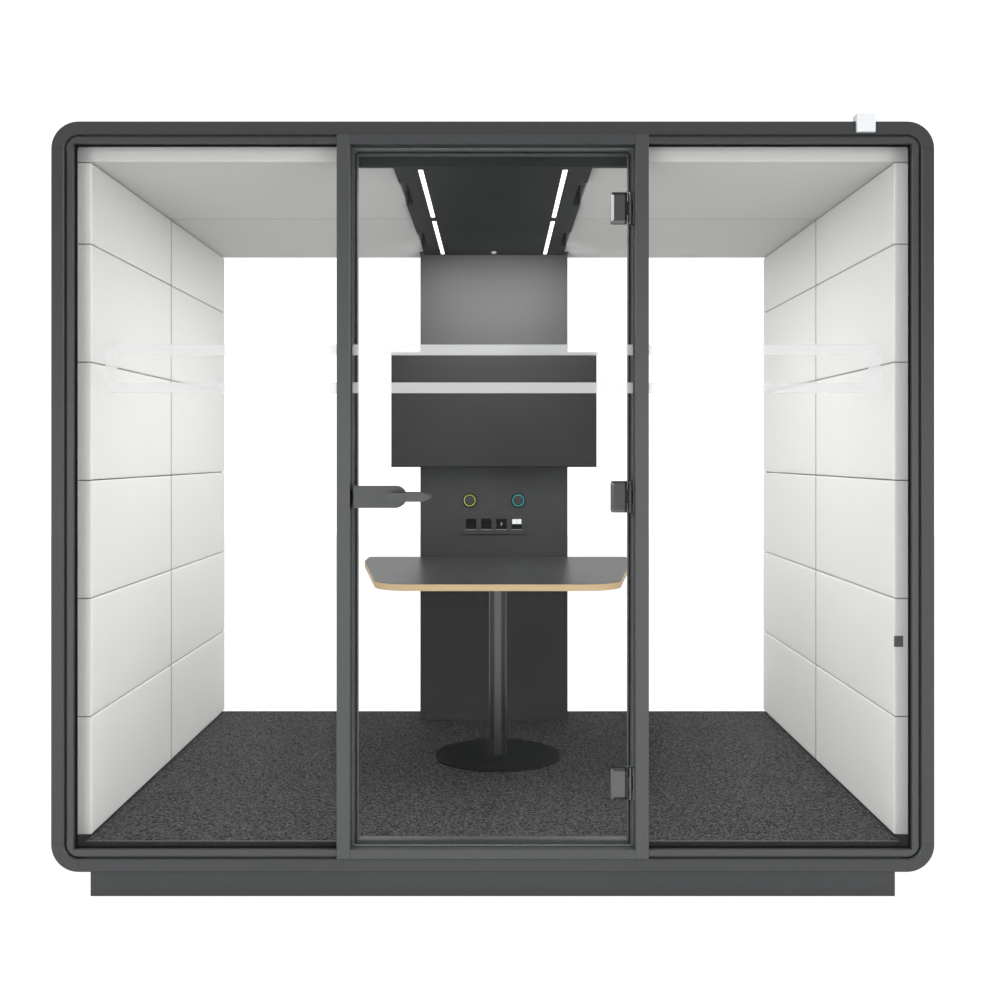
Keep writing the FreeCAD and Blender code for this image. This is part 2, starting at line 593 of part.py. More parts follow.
# the ceiling pads lie over the wall pads; they are notched at the door frame and the media column
notches = {"front": ("door_half + pad_seam", "pad_front", "header_back + pad_seam"),
           "rear": ("column_half + pad_column_gap", "column_front - pad_column_gap", "pad_rear")}
ceiling_pads = []
for side, sign in (("left", "-1"), ("right", "1")):
    near, far = f"{sign} * (canopy_half + pad_seam)", f"{sign} * (wall_face - pad_wall_gap)"
    section = [(near, "ceiling_face", "pad_round"), (far, "ceiling_face"),
               (far, "roof_face", "inner_round + pad_edge_gap"), (near, "roof_face")]
    for column, start, end in pad_columns:
        whole = plate(f"ceiling_block_{side}_{column}", "XZ_Plane", [section], start, end)
        reach, low, high = notches[column]
        edges = sorted(("0", f"{sign} * ({reach})"), key=number)
        notch = box(f"ceiling_notch_{side}_{column}", (edges[0], low, "ceiling_face"),
                    (edges[1], high, "roof_face"))
        ceiling_pads.append(cut(f"ceiling_pad_{side}_{column}", whole, [notch]))
keep(group("ceiling_pads", ceiling_pads))

# door frame: posts with a channel for the fixed pane, stop strips for the leaf, head and sill
channel = ("front + glass_front - channel_clearance", "front + glass_back + channel_clearance")
channel_end = "glass_channel_depth - door_half"
stop_edge = "door_stop_width - opening_half"
post_outline = [("-door_half", "door_y", "bead_round"), ("-opening_half", "door_y", "bead_round"),
                ("-opening_half", "door_frame_back"), ("-door_half", "door_frame_back"),
                ("-door_half", channel[1]), (channel_end, channel[1]), (channel_end, channel[0]),
                ("-door_half", channel[0])]
post_chamber = oblong(f"{channel_end} + post_wall", "door_y + post_wall", "-opening_half - post_wall",
                      "door_frame_back - post_wall")
strike_post = plate("strike_post", "XY_Plane", [post_outline, post_chamber], "pan_top", "roof_face")
strike_stop = box("strike_stop", ("-opening_half", "stop_y", "pan_top"),
                  (stop_edge, "door_frame_back", "roof_face"))
keep(group("door_posts", [strike_post, strike_stop, mirror("hinge_post", strike_post, (1, 0, 0)),
                          mirror("hinge_stop", strike_stop, (1, 0, 0))]))


def door_bar(back):
    """Plan of a bar between the posts, narrower where it passes their stops."""
    return [("-opening_half", "door_y"), ("opening_half", "door_y"), ("opening_half", "stop_y"),
            (f"-({stop_edge})", "stop_y"), (f"-({stop_edge})", back), (stop_edge, back),
            (stop_edge, "stop_y"), ("-opening_half", "stop_y")]


stop_low = "opening_high - door_stop_width"
keep(fuse("door_head", [
    plate("door_head_bar", "XY_Plane", [door_bar("door_frame_back")], "opening_high", "roof_face"),
    box("door_head_stop", (stop_edge, "stop_y", stop_low),
        (f"-({stop_edge})", "door_frame_back", "opening_high"))]))
sill_back = "-floor_front - floor_gap"
keep(fuse("door_sill", [
    plate("door_sill_bar", "XY_Plane", [door_bar(sill_back)], "pan_top", "opening_low"),
    box("door_sill_stop", (stop_edge, "stop_y", "opening_low"),
        (f"-({stop_edge})", sill_back, "opening_low + sill_stop_height"))]))

# seals along the inner edge of the stops; the one at the strike is parted round the lock cover
lock_low, lock_high = "lock_level - lock_height / 2", "lock_level + lock_height / 2"
seal_y = "stop_y - seal_depth"
strike_x = (f"{stop_edge} - seal_width", stop_edge)
hinge_x = (f"-({stop_edge})", f"seal_width - ({stop_edge})")
seal_runs = {"strike_low": (strike_x, "leaf_low", f"{lock_low} - seal_gap"),
             "strike_high": (strike_x, f"{lock_high} + seal_gap", stop_low),
             "hinge": (hinge_x, "leaf_low", stop_low),
             "head": ((stop_edge, f"-({stop_edge})"), stop_low, f"{stop_low} + seal_width")}
keep(group("door_seals", [
    box(f"seal_{label}", (ends[0], seal_y, low), (ends[1], "stop_y", high))
    for label, (ends, low, high) in seal_runs.items()]))

# door leaf: one pane with three hinge notches in its right edge and a hole for the lever spindle
hinge_levels = ("hinge_low", "hinge_middle", "hinge_high")
leaf_outline = [("-leaf_half", "leaf_low"), ("leaf_half", "leaf_low")]
for level in hinge_levels:
    low = f"{level} - hinge_plate_height / 2 - hinge_notch_gap"
    high = f"{level} + hinge_plate_height / 2 + hinge_notch_gap"
    leaf_outline += [("leaf_half", low), ("notch_x", low), ("notch_x", high), ("leaf_half", high)]
leaf_outline += [("leaf_half", "leaf_high"), ("-leaf_half", "leaf_high")]
spindle_hole = ("lever_x", "lock_level", "spindle_hole_radius")
keep(plate("door_glass", "XZ_Plane", [leaf_outline, spindle_hole], "leaf_y", "leaf_back"))


def hinge_pieces(level, tag):
    """One hinge: bevelled door plate with the middle knuckle, clamp plate, frame leaf and pin."""
    low, high = f"{level} - hinge_plate_height / 2", f"{level} + hinge_plate_height / 2"
    middle = f"({level} - knuckle_middle / 2)"
    bore = "hinge_pin_radius + running_gap"
    outlines = []
    for inset, radius in (("0", "hinge_plate_round"), ("hinge_bevel", "hinge_face_round")):
        left = f"hinge_plate_x - hinge_plate_width + {inset}"
        outlines.append([(left, f"{low} + {inset}", radius), ("hinge_plate_x", f"{low} + {inset}"),
                         ("hinge_plate_x", f"{high} - {inset}"), (left, f"{high} - {inset}", radius)])
    door_plate = loft(f"door_plate_{tag}", *outlines, "leaf_y", "leaf_y - hinge_plate_thickness")
    clamp = loft(f"clamp_plate_{tag}", *outlines, "leaf_back", "leaf_back + hinge_plate_thickness")
    web = box(f"door_web_{tag}", ("notch_x", "leaf_y", middle),
              ("axis_x", "leaf_back", f"{middle} + knuckle_middle"))
    knuckle = rod(f"door_knuckle_{tag}", "knuckle_radius", "knuckle_middle", "axis_x", "axis_y", middle)
    door_bore = rod(f"door_bore_{tag}", bore, "knuckle_middle", "axis_x", "axis_y", middle)
    door_body = fuse(f"door_leaf_body_{tag}", [door_plate, web, knuckle])
    door_leaf = cut(f"door_leaf_{tag}", door_body, [door_bore])
    leaf_x = "axis_x + knuckle_radius"
    parts = [box(f"frame_plate_{tag}", (leaf_x, "axis_y - knuckle_radius - running_gap", low),
                 ("opening_half", "axis_y - knuckle_radius - running_gap + hinge_leaf_depth", high))]
    gap_high = f"{middle} + knuckle_middle + knuckle_gap"
    for end, start, stop in (("low", low, f"{middle} - knuckle_gap"), ("high", gap_high, high)):
        parts.append(rod(f"frame_knuckle_{tag}_{end}", "knuckle_radius", f"{stop} - ({start})",
                         "axis_x", "axis_y", start))
        parts.append(box(f"frame_web_{tag}_{end}", ("axis_x", "axis_y - knuckle_radius / 2", start),
                         (leaf_x, "axis_y + knuckle_radius / 2", stop)))
    frame_bore = rod(f"frame_bore_{tag}", bore, "hinge_plate_height", "axis_x", "axis_y", low)
    frame_leaf = cut(f"frame_leaf_{tag}", fuse(f"frame_leaf_body_{tag}", parts), [frame_bore])
    pin = rod(f"hinge_pin_{tag}", "hinge_pin_radius", "hinge_plate_height", "axis_x", "axis_y", low)
    return door_leaf, clamp, frame_leaf, pin


hinges = [hinge_pieces(level, level.split("_")[1]) for level in hinge_levels]
hinge_labels = ("hinge_door_leaves", "hinge_clamp_plates", "hinge_frame_leaves", "hinge_pins")
for label, items in zip(hinge_labels, zip(*hinges)):
    keep(group(label, list(items)))

# lock: case and cover on the two faces of the glass, bolt, lever pair and keeper
lock_face = [("lock_left", lock_low), ("lock_right", lock_low, "lock_round"),
             ("lock_right", lock_high, "lock_round"), ("lock_left", lock_high)]
spindle_bore = ("lever_x", "lock_level", "spindle_radius + running_gap")
bolt_low, bolt_high = "lock_level - bolt_height / 2", "lock_level + bolt_height / 2"
bolt_front, bolt_rear = "bolt_y - bolt_depth / 2", "bolt_y + bolt_depth / 2"
bolt_left = "lock_left - bolt_nose"
bolt_room = box("bolt_room", ("lock_left", f"{bolt_front} - bolt_gap", f"{bolt_low} - bolt_gap"),
                ("lock_left - bolt_nose + bolt_length + bolt_stroke + bolt_gap", f"{bolt_rear} + bolt_gap",
                 f"{bolt_high} + bolt_gap"))
lock_body = plate("lock_body", "XZ_Plane", [lock_face, spindle_bore], "lock_y", "leaf_y")
lock_cover = plate("lock_cover", "XZ_Plane", [lock_face, spindle_bore], "leaf_back", "cover_y")
keep(group("lock_cases", [cut("lock_front", lock_body, [bolt_room]), lock_cover]))
nose = [(bolt_left, bolt_front), (f"{bolt_left} + bolt_length", bolt_front),
        (f"{bolt_left} + bolt_length", bolt_rear), (f"{bolt_left} + bolt_nose", bolt_rear)]
keep(plate("latch_bolt", "XY_Plane", [nose], bolt_low, bolt_high))
keep(box("strike_keeper", ("-opening_half", "bolt_y - keeper_depth / 2", "lock_level - keeper_height / 2"),
         ("keeper_thickness - opening_half", "bolt_y + keeper_depth / 2", "lock_level + keeper_height / 2")))

lever_low, lever_high = "lock_level - lever_height / 2", "lock_level + lever_height / 2"
tip_low, tip_high = "lock_level - lever_tip_height / 2", "lock_level + lever_tip_height / 2"
heel_x, tip_x = "lever_x - lever_back", "lever_x + lever_length"
lever_face = [(heel_x, lever_low, "lever_round"), (f"{tip_x} - lever_tip", lever_low), (tip_x, tip_low),
              (tip_x, tip_high), (f"{tip_x} - lever_tip", lever_high), (heel_x, lever_high, "lever_round")]
spindle_front, spindle_rear = "lock_y - lever_gap", "cover_y + lever_gap"
front_grip = f"{spindle_front} - lever_reach"
rear_grip = f"{spindle_rear} + lever_reach"
lever_parts = {"front": (f"{front_grip} - lever_thickness", front_grip, front_grip),
               "rear": (rear_grip, f"{rear_grip} + lever_thickness", spindle_rear)}
levers = []
for label, (start, end, neck) in lever_parts.items():
    levers.append(fuse(f"lever_{label}", [
        plate(f"lever_{label}_grip", "XZ_Plane", [lever_face], start, end),
        rod(f"lever_{label}_neck", "lever_neck_radius", "lever_reach", "lever_x", neck, "lock_level",
            along_y)]))
keep(group("lever_handles", levers))
keep(rod("lever_spindle", "spindle_radius", f"{spindle_rear} - ({spindle_front})", "lever_x", spindle_front,
         "lock_level", along_y))

# ceiling canopy: a tray with scalloped vents in its sides and slots for the light strips
vents = ("front_vent", "rear_vent")


def canopy_outline(inset):
    """Plan of the canopy with its wider header, drawn in by an inset; the vents have slanted, round ends."""
    shift = f"(sqrt(2) - 1) * ({inset})"
    side, bay = f"canopy_half - ({inset})", f"vent_x - ({inset})"
    header, shoulder = f"header_half - ({inset})", f"header_back - ({inset})"
    right = [(header, f"canopy_front + {inset}"), (header, shoulder), (side, shoulder)]
    for vent in vents:
        start, end = f"{vent} - vent_length / 2 - {shift}", f"{vent} + vent_length / 2 + {shift}"
        right += [(side, start), (bay, f"{start} + vent_depth", f"vent_round + {inset}"),
                  (bay, f"{end} - vent_depth", f"vent_round + {inset}"), (side, end)]
    right.append((side, f"column_front - ({inset})"))
    left = [(f"-({corner[0]})",) + corner[1:] for corner in reversed(right)]
    return right + left


tray = plate("canopy_tray", "XY_Plane", [canopy_outline("0")], "canopy_low", "canopy_high")
doc.recompute()
hollow = tray.newObject("PartDesign::Pocket", "canopy_hollow")
hollow.Profile = sketch_on(tray, "XY_Plane", [canopy_outline("canopy_wall")], "canopy_high")
bind(hollow, "Length", "canopy_high - canopy_skin")
light_starts = [f"canopy_front + light_start + {count} * (light_length + light_split)" for count in range(2)]
light_lines = [(sign, start) for sign in ("-1", "1") for start in light_starts]
tools = []
for count, (sign, start) in enumerate(light_lines, start=1):
    middle = f"{sign} * light_spacing / 2"
    tools.append(box(f"light_slot_{count}", (f"{middle} - light_width / 2", start, "canopy_low"),
                     (f"{middle} + light_width / 2", f"{start} + light_length", "canopy_skin")))
for vent in vents:
    for count in range(slot_count):
        low = f"canopy_low + {count + 1} * slot_pitch"
        reach = "(vent_length / 2 - slot_margin)"
        tools.append(box(f"{vent}_slot_{count + 1}", ("-canopy_half", f"{vent} - {reach}", low),
                         ("canopy_half", f"{vent} + {reach}", f"{low} + slot_height")))
keep(cut("ceiling_canopy", tray, tools))

diffusers = []
for count, (sign, start) in enumerate(light_lines, start=1):
    middle = f"{sign} * light_spacing / 2"
    stem, rim = "(light_width / 2 - light_fit)", "(light_width / 2 + light_flange)"
    flange_top = "canopy_skin + light_flange_height"
    section = [(f"{middle} - {stem}", "canopy_low"), (f"{middle} + {stem}", "canopy_low"),
               (f"{middle} + {stem}", "canopy_skin"), (f"{middle} + {rim}", "canopy_skin"),
               (f"{middle} + {rim}", flange_top), (f"{middle} - {rim}", flange_top),
               (f"{middle} - {rim}", "canopy_skin"), (f"{middle} - {stem}", "canopy_skin")]
    diffusers.append(plate(f"led_diffuser_{count}", "XZ_Plane", [section], f"{start} + light_fit",
                           f"{start} + light_length - light_fit"))
keep(group("led_diffusers", diffusers))

dome = [("0", "0"), ("0", "-sensor_drop"), ("sensor_radius - sensor_bevel", "-sensor_drop"),
        ("sensor_radius", "sensor_bevel - sensor_drop"), ("sensor_radius", "0")]
upright = turned(1, 0, 0, 90)
keep(place(lathe("motion_sensor", [dome]), "0", "column_front - sensor_back", "canopy_low", upright))

# ventilators behind the two front vents: housing with spokes, and a rotor on its shaft
fan_z = "canopy_skin + fan_size / 2"
fan_y = "front_vent"


def fan(label, sign):
    """A housing against the vent wall and a rotor that turns about X."""
    def across(low, high):
        """Two places counted in from the vent wall, in rising order."""
        wall = "vent_x - canopy_wall"
        return sorted((f"{sign} * ({wall} - ({low}))", f"{sign} * ({wall} - ({high}))"), key=number)

    shell_x = across("0", "fan_depth")
    spoke_x = across("fan_depth - spoke_depth", "fan_depth")
    hub_x = across("blade_tip_gap", "fan_depth - spoke_depth - blade_tip_gap")
    half = "fan_size / 2"
    square = oblong(f"{fan_y} - {half}", f"{fan_z} - {half}", f"{fan_y} + {half}", f"{fan_z} + {half}")
    parts = [plate(f"fan_shell_{label}", "YZ_Plane", [square, (fan_y, fan_z, "fan_bore_radius")], *shell_x),
             rod(f"fan_bearing_{label}", "fan_hub_radius", "spoke_depth", spoke_x[0], fan_y, fan_z, along_x),
             box(f"fan_spoke_{label}_1", (spoke_x[0], f"{fan_y} - {half}", f"{fan_z} - spoke_width / 2"),
                 (spoke_x[1], f"{fan_y} + {half}", f"{fan_z} + spoke_width / 2")),
             box(f"fan_spoke_{label}_2", (spoke_x[0], f"{fan_y} - spoke_width / 2", f"{fan_z} - {half}"),
                 (spoke_x[1], f"{fan_y} + spoke_width / 2", f"{fan_z} + {half}"))]
    bore = rod(f"fan_shaft_bore_{label}", "fan_shaft_radius + running_gap", "spoke_depth", spoke_x[0],
               fan_y, fan_z, along_x)
    housing = cut(f"fan_housing_{label}", fuse(f"fan_housing_body_{label}", parts), [bore])
    shaft_x = across("blade_tip_gap", "fan_depth")
    wheel = [rod(f"fan_{part}_{label}", f"fan_{part}_radius", f"{ends[1]} - ({ends[0]})", ends[0],
                 fan_y, fan_z, along_x) for part, ends in (("hub", hub_x), ("shaft", shaft_x))]
    middle = FreeCAD.Vector(number(f"({hub_x[0]} + {hub_x[1]}) / 2"), number(fan_y), number(fan_z))
    root = number("fan_hub_radius - blade_thickness")
    corner = FreeCAD.Vector(-number("blade_width") / 2, root, -number("blade_thickness") / 2)
    for count in range(blade_count):
        blade = doc.addObject("Part::Box", f"fan_blade_{label}_{count + 1}")
        bind(blade, "Length", "blade_width")
        bind(blade, "Width", "fan_bore_radius - blade_tip_gap - fan_hub_radius + blade_thickness")
        bind(blade, "Height", "blade_thickness")
        spin = turned(1, 0, 0, 360 * count / blade_count).multiply(turned(0, 1, 0, blade_tilt))
        blade.Placement = FreeCAD.Placement(middle + spin.multVec(corner), spin)
        wheel.append(blade)
    return housing, keep(fuse(f"fan_rotor_{label}", wheel))


keep(group("fan_housings", [fan("left", "-1")[0], fan("right", "1")[0]]))

# media column: front panel with cut-outs, side boards, rear mullions and rear panel
button_spots = [("light", "-button_spacing / 2"), ("fan", "button_spacing / 2")]
panel_half = "column_half - column_board"
module_half = "module_size / 2 + module_fit"
window = oblong(f"-(1.5 * module_pitch + {module_half})", f"module_level - ({module_half})",
                f"1.5 * module_pitch + {module_half}", f"module_level + {module_half}")
panel_face = [oblong(f"-({panel_half})", "carpet_top", panel_half, "column_high"), window]
panel_face += [(x, "button_level", "barrel_radius + barrel_hole_gap") for label, x in button_spots]
keep(plate("media_front_panel", "XZ_Plane", panel_face, "column_front", "column_front + column_board"))
keep(group("media_side_boards", [
    box("media_board_left", ("-column_half", "column_front", "carpet_top"),
        (f"-({panel_half})", "column_back", "column_high")),
    box("media_board_right", (panel_half, "column_front", "carpet_top"),
        ("column_half", "column_back", "column_high"))]))
mullion_y = ("half_depth - stop_back", "half_depth - post_front")
groove_x = "column_half - glass_channel_depth"
groove_y = ("half_depth - glass_back - channel_clearance", "half_depth - glass_front + channel_clearance")
mullion_plan = [
    ("mullion_inner", mullion_y[0]), ("column_half", mullion_y[0]), ("column_half", groove_y[0]),
    (groove_x, groove_y[0]), (groove_x, groove_y[1]), ("column_half", groove_y[1]),
    ("column_half", mullion_y[1], "bead_round"), ("mullion_inner", mullion_y[1], "bead_round")]
mullion = plate("rear_mullion_right", "XY_Plane", [mullion_plan], "pan_top", "roof_face")
keep(group("rear_mullions", [mullion, mirror("rear_mullion_left", mullion, (1, 0, 0))]))
rear_face = "half_depth - rear_panel_inset"
keep(box("media_rear_panel", ("-mullion_inner", f"{rear_face} - rear_panel_depth", "pan_top"),
         ("mullion_inner", rear_face, "roof_face")))
inlet_low, inlet_high = "inlet_level - inlet_height / 2", "inlet_level + inlet_height / 2"
inlet_y = f"{rear_face} + inlet_depth"
inlet_face = oblong("-inlet_width / 2", inlet_low, "inlet_width / 2", inlet_high, "inlet_rim / 2")
inlet_body = plate("inlet_body", "XZ_Plane", [inlet_face], rear_face, inlet_y)
inlet_socket = box("inlet_socket",
                   ("inlet_rim - inlet_width / 2", f"{inlet_y} - inlet_recess", f"{inlet_low} + inlet_rim"),
                   ("inlet_width / 2 - inlet_rim", inlet_y, f"{inlet_high} - inlet_rim"))
keep(cut("power_inlet", inlet_body, [inlet_socket]))

# screen on its bracket
keep(box("tv_bracket", ("-tv_bracket_width / 2", "tv_back", "tv_middle - tv_bracket_height / 2"),
         ("tv_bracket_width / 2", "column_front", "tv_middle + tv_bracket_height / 2")))
keep(soft_box("tv_shell", ("-tv_width / 2", "tv_front", "tv_bottom"),
              ("tv_width / 2", "tv_back", "tv_bottom + tv_height"), "tv_round"))
screen = oblong("tv_round - tv_width / 2", "tv_bottom + tv_round", "tv_width / 2 - tv_round",
                "tv_bottom + tv_height - tv_round")
keep(plate("tv_screen", "XZ_Plane", [screen], "tv_front - tv_glass", "tv_front"))

# push buttons: bezel with its barrel, light ring and cap
bezel_profile = [("bore_radius", "-bezel_height"), ("ring_inner", "-bezel_height"),
                 ("ring_inner", "ring_depth - bezel_height"), ("ring_outer", "ring_depth - bezel_height"),
                 ("ring_outer", "-bezel_height"), ("bezel_radius - bezel_bevel", "-bezel_height"),
                 ("bezel_radius", "bezel_bevel - bezel_height"), ("bezel_radius", "0"),
                 ("barrel_radius", "0"), ("barrel_radius", "barrel_depth"),
                 ("0", "barrel_depth"), ("0", "barrel_depth - barrel_floor"),
                 ("bore_radius", "barrel_depth - barrel_floor")]
ring_profile = oblong("ring_inner", "-bezel_height - ring_proud", "ring_outer", "ring_depth - bezel_height")
cap_radius = "bore_radius - button_gap"
cap_profile = [("0", "-button_proud"), (f"{cap_radius} - button_bevel", "-button_proud"),
               (cap_radius, "button_bevel - button_proud"), (cap_radius, "button_length - button_proud"),
               ("0", "button_length - button_proud")]
bezels = []
for label, x in button_spots:
    bezels.append(place(lathe(f"bezel_{label}", [bezel_profile]), x, "column_front", "button_level"))
    keep(place(lathe(f"{label}_ring", [ring_profile]), x, "column_front", "button_level"))
    keep(place(lathe(f"{label}_button", [cap_profile]), x, "column_front", "button_level"))
keep(group("button_bezels", bezels))

# socket plate with three outlets and a rocker switch
module_spots = [f"{count - 1.5} * module_pitch" for count in range(4)]
plate_face = [oblong("-plate_width / 2", "plate_level - plate_height / 2", "plate_width / 2",
                     "plate_level + plate_height / 2", "plate_round")]
plate_face += [oblong(f"{x} - ({module_half})", f"module_level - ({module_half})", f"{x} + {module_half}",
                      f"module_level + {module_half}") for x in module_spots]
keep(plate("socket_plate", "XZ_Plane", plate_face, "plate_y", "column_front"))
module_y = "plate_y + module_recess"


def port(name, x, z, width, height, depth):
    """A rectangular room cut back from the face of a module."""
    return box(name, (f"{x} - {width} / 2", module_y, f"{z} - {height} / 2"),
               (f"{x} + {width} / 2", f"{module_y} + {depth}", f"{z} + {height} / 2"))


rocker_y = "plate_y - rocker_proud + rocker_depth / 2"
rocker_reach = "rocker_width / 2 + 2 * rocker_gap"
rooms = [
    [rod("mains_well", "socket_radius", "socket_depth", module_spots[0], module_y, "module_level", along_y)],
    [port("data_port", module_spots[1], "module_level", "port_width", "port_height", "port_depth")],
    [port("charge_port", module_spots[2], "module_level", "usb_width", "usb_height", "port_depth")],
    [port("rocker_room", module_spots[3], "rocker_z", "(rocker_width + 2 * rocker_gap)",
          "(rocker_height + 2 * rocker_gap)", "(rocker_depth + rocker_gap)"),
     rod("rocker_pin_bore", "rocker_pin_radius + running_gap", f"2 * ({rocker_reach})",
         f"{module_spots[3]} - ({rocker_reach})", rocker_y, "rocker_z", along_x)]]
modules = []
for count, (x, tools) in enumerate(zip(module_spots, rooms), start=1):
    block = port(f"module_block_{count}", x, "module_level", "module_size", "module_size", "module_depth")
    modules.append(cut(f"module_{count}", block, tools))
keep(group("socket_modules", modules))
key_y = "plate_y - rocker_proud"
key = box("rocker_key",
          (f"{module_spots[3]} - rocker_width / 2", key_y, "rocker_z - rocker_height / 2"),
          (f"{module_spots[3]} + rocker_width / 2", f"{key_y} + rocker_depth",
           "rocker_z + rocker_height / 2"))
pin = rod("rocker_pin", "rocker_pin_radius", f"2 * ({rocker_reach}) - 2 * running_gap",
          f"{module_spots[3]} - ({rocker_reach}) + running_gap", rocker_y, "rocker_z", along_x)
keep(fuse("rocker_switch", [key, pin]))

# table: plywood top with a laminate face, spider plate, leg tube and round foot
half_table, half_nose = "table_width / 2", "table_front_width / 2"
table_plan = []
for sign in ("1", "-1"):
    edge = [(half_nose, "table_front", "table_front_round"),
            (half_table, "table_taper_start", "table_side_round"),
            (half_table, "table_rear", "table_rear_round")]
    edge = [(f"table_offset + {sign} * {x}", y, radius) for x, y, radius in edge]
    table_plan += edge if sign == "1" else edge[::-1]
laminate_low = "table_level - laminate"
keep(plate("table_core", "XY_Plane", [table_plan], "table_under", laminate_low))
keep(plate("table_laminate", "XY_Plane", [table_plan], laminate_low, "table_level"))
spider = oblong("table_offset - spider_size / 2", "leg_place - spider_size / 2",
                "table_offset + spider_size / 2", "leg_place + spider_size / 2", "spider_round")
keep(plate("table_mount_plate", "XY_Plane", [spider], "spider_low", "table_under"))
leg_rings = [("table_offset", "leg_place", radius) for radius in ("leg_radius", "leg_radius - leg_wall")]
keep(plate("table_leg", "XY_Plane", leg_rings, "foot_top", "spider_low"))
foot_profile = [("0", "0"), ("foot_radius", "0"), ("foot_radius", "foot_thickness - foot_bevel"),
                ("foot_radius - foot_bevel", "foot_thickness"), ("0", "foot_thickness")]
keep(place(lathe("table_base", [foot_profile]), "table_offset", "leg_place", "carpet_top", upright))

# status light clipped over the top front edge
hook_front, hook_back = "front - status_proud", "front + status_reach"
hook_low, hook_high = "pod_height - status_drop", "pod_height + status_rise"
hook = [(hook_front, hook_low, "status_round"), (hook_front, hook_high, "status_round"),
        (hook_back, hook_high, "status_round"), (hook_back, "pod_height"), ("front", "pod_height"),
        ("front", hook_low)]
keep(plate("status_light", "YZ_Plane", [hook], "status_x - status_width / 2", "status_x + status_width / 2"))

doc.recompute()
for item in doc.Objects:
    if "Invalid" in item.State or "Error" in item.State:
        raise RuntimeError(f"{item.Label} failed: {item.State}")
for label, item in nodes.items():
    if item.Shape.isNull() or not item.Shape.isValid() or not item.Shape.Solids:
        raise RuntimeError(f"{label} has no valid solid")
os.makedirs("parts", exist_ok=True)
for label, item in nodes.items():
    item.Shape.exportStep(f"parts/{label}.step")
print(len(nodes), "nodes,", sum(len(item.Shape.Solids) for item in nodes.values()), "solids")
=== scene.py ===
import json
import math
import bmesh
import bpy
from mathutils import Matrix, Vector


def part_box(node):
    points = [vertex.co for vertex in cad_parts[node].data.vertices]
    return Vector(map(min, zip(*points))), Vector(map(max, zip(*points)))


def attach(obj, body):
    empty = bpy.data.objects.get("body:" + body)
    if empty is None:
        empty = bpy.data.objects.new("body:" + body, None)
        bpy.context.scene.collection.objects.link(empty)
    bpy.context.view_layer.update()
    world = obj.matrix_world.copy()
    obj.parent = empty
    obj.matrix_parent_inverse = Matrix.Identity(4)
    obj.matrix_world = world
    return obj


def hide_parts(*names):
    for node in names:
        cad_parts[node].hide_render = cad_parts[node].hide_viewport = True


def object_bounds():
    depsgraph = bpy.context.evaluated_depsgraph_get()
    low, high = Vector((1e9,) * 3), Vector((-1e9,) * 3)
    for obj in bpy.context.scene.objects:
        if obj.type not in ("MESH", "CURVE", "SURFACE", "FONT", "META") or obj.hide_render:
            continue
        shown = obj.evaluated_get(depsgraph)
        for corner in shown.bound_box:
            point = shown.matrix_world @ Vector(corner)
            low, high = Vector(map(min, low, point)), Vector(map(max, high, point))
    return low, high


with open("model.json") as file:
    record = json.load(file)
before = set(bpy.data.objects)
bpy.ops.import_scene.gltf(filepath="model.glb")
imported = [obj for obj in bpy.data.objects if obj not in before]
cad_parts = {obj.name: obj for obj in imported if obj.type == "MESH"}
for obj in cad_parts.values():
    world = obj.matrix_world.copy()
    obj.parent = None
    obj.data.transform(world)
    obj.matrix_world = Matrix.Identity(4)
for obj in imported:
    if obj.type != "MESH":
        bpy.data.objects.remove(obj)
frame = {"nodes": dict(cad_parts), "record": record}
nodes = frame["nodes"]
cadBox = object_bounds()
scene = bpy.context.scene
scene.view_settings.view_transform = "Standard"
print("frame loaded:", len(nodes), "nodes")


# small helpers for node trees
def addNode(tree, kind, settings=None, **values):
    node = tree.nodes.new("ShaderNode" + kind)
    for key, value in (settings or {}).items():
        setattr(node, key, value)
    for key, value in values.items():
        node.inputs[key].default_value = value
    return node


def feed(tree, socket, value):
    if isinstance(value, bpy.types.NodeSocket):
        tree.links.new(value, socket)
    else:
        socket.default_value = value


def mathNode(tree, operation, first, second=None):
    node = addNode(tree, "Math", {"operation": operation})
    feed(tree, node.inputs[0], first)
    if second is not None:
        feed(tree, node.inputs[1], second)
    return node.outputs[0]


def rangeNode(tree, value, low, high, atLow=0.0, atHigh=1.0, smooth=False):
    node = addNode(tree, "MapRange", {"interpolation_type": "SMOOTHSTEP" if smooth else "LINEAR"})
    for key, setting in (("From Min", low), ("From Max", high), ("To Min", atLow), ("To Max", atHigh)):
        node.inputs[key].default_value = setting
    tree.links.new(value, node.inputs["Value"])
    return node.outputs["Result"]


# sockets of a mix node by kind of value: both inputs and the output
mixSockets = {"RGBA": (6, 7, 2), "FLOAT": (2, 3, 0)}


def mixNode(tree, kind, factor, first, second):
    node = addNode(tree, "Mix", {"data_type": kind})
    firstSocket, secondSocket, result = mixSockets[kind]
    tree.links.new(factor, node.inputs["Factor"])
    feed(tree, node.inputs[firstSocket], first)
    feed(tree, node.inputs[secondSocket], second)
    return node.outputs[result]


def splitVector(tree, vector):
    node = addNode(tree, "SeparateXYZ")
    tree.links.new(vector, node.inputs[0])
    return node.outputs


def noiseNode(tree, place, **values):
    node = addNode(tree, "TexNoise", **values)
    tree.links.new(place, node.inputs["Vector"])
    return node


def stretched(tree, place, scale):
    node = addNode(tree, "Mapping", Scale=scale)
    tree.links.new(place, node.inputs["Vector"])
    return node.outputs[0]


def scaled(tree, colour, factor):
    node = addNode(tree, "VectorMath", {"operation": "SCALE"})
    tree.links.new(colour, node.inputs[0])
    tree.links.new(factor, node.inputs["Scale"])
    return node.outputs[0]


# camera: level, straight on to the door
cameraSet = {"place": (0.0112, -4.516, 1.3158), "lens": 43.0, "shift": (0.0035, -0.0452)}

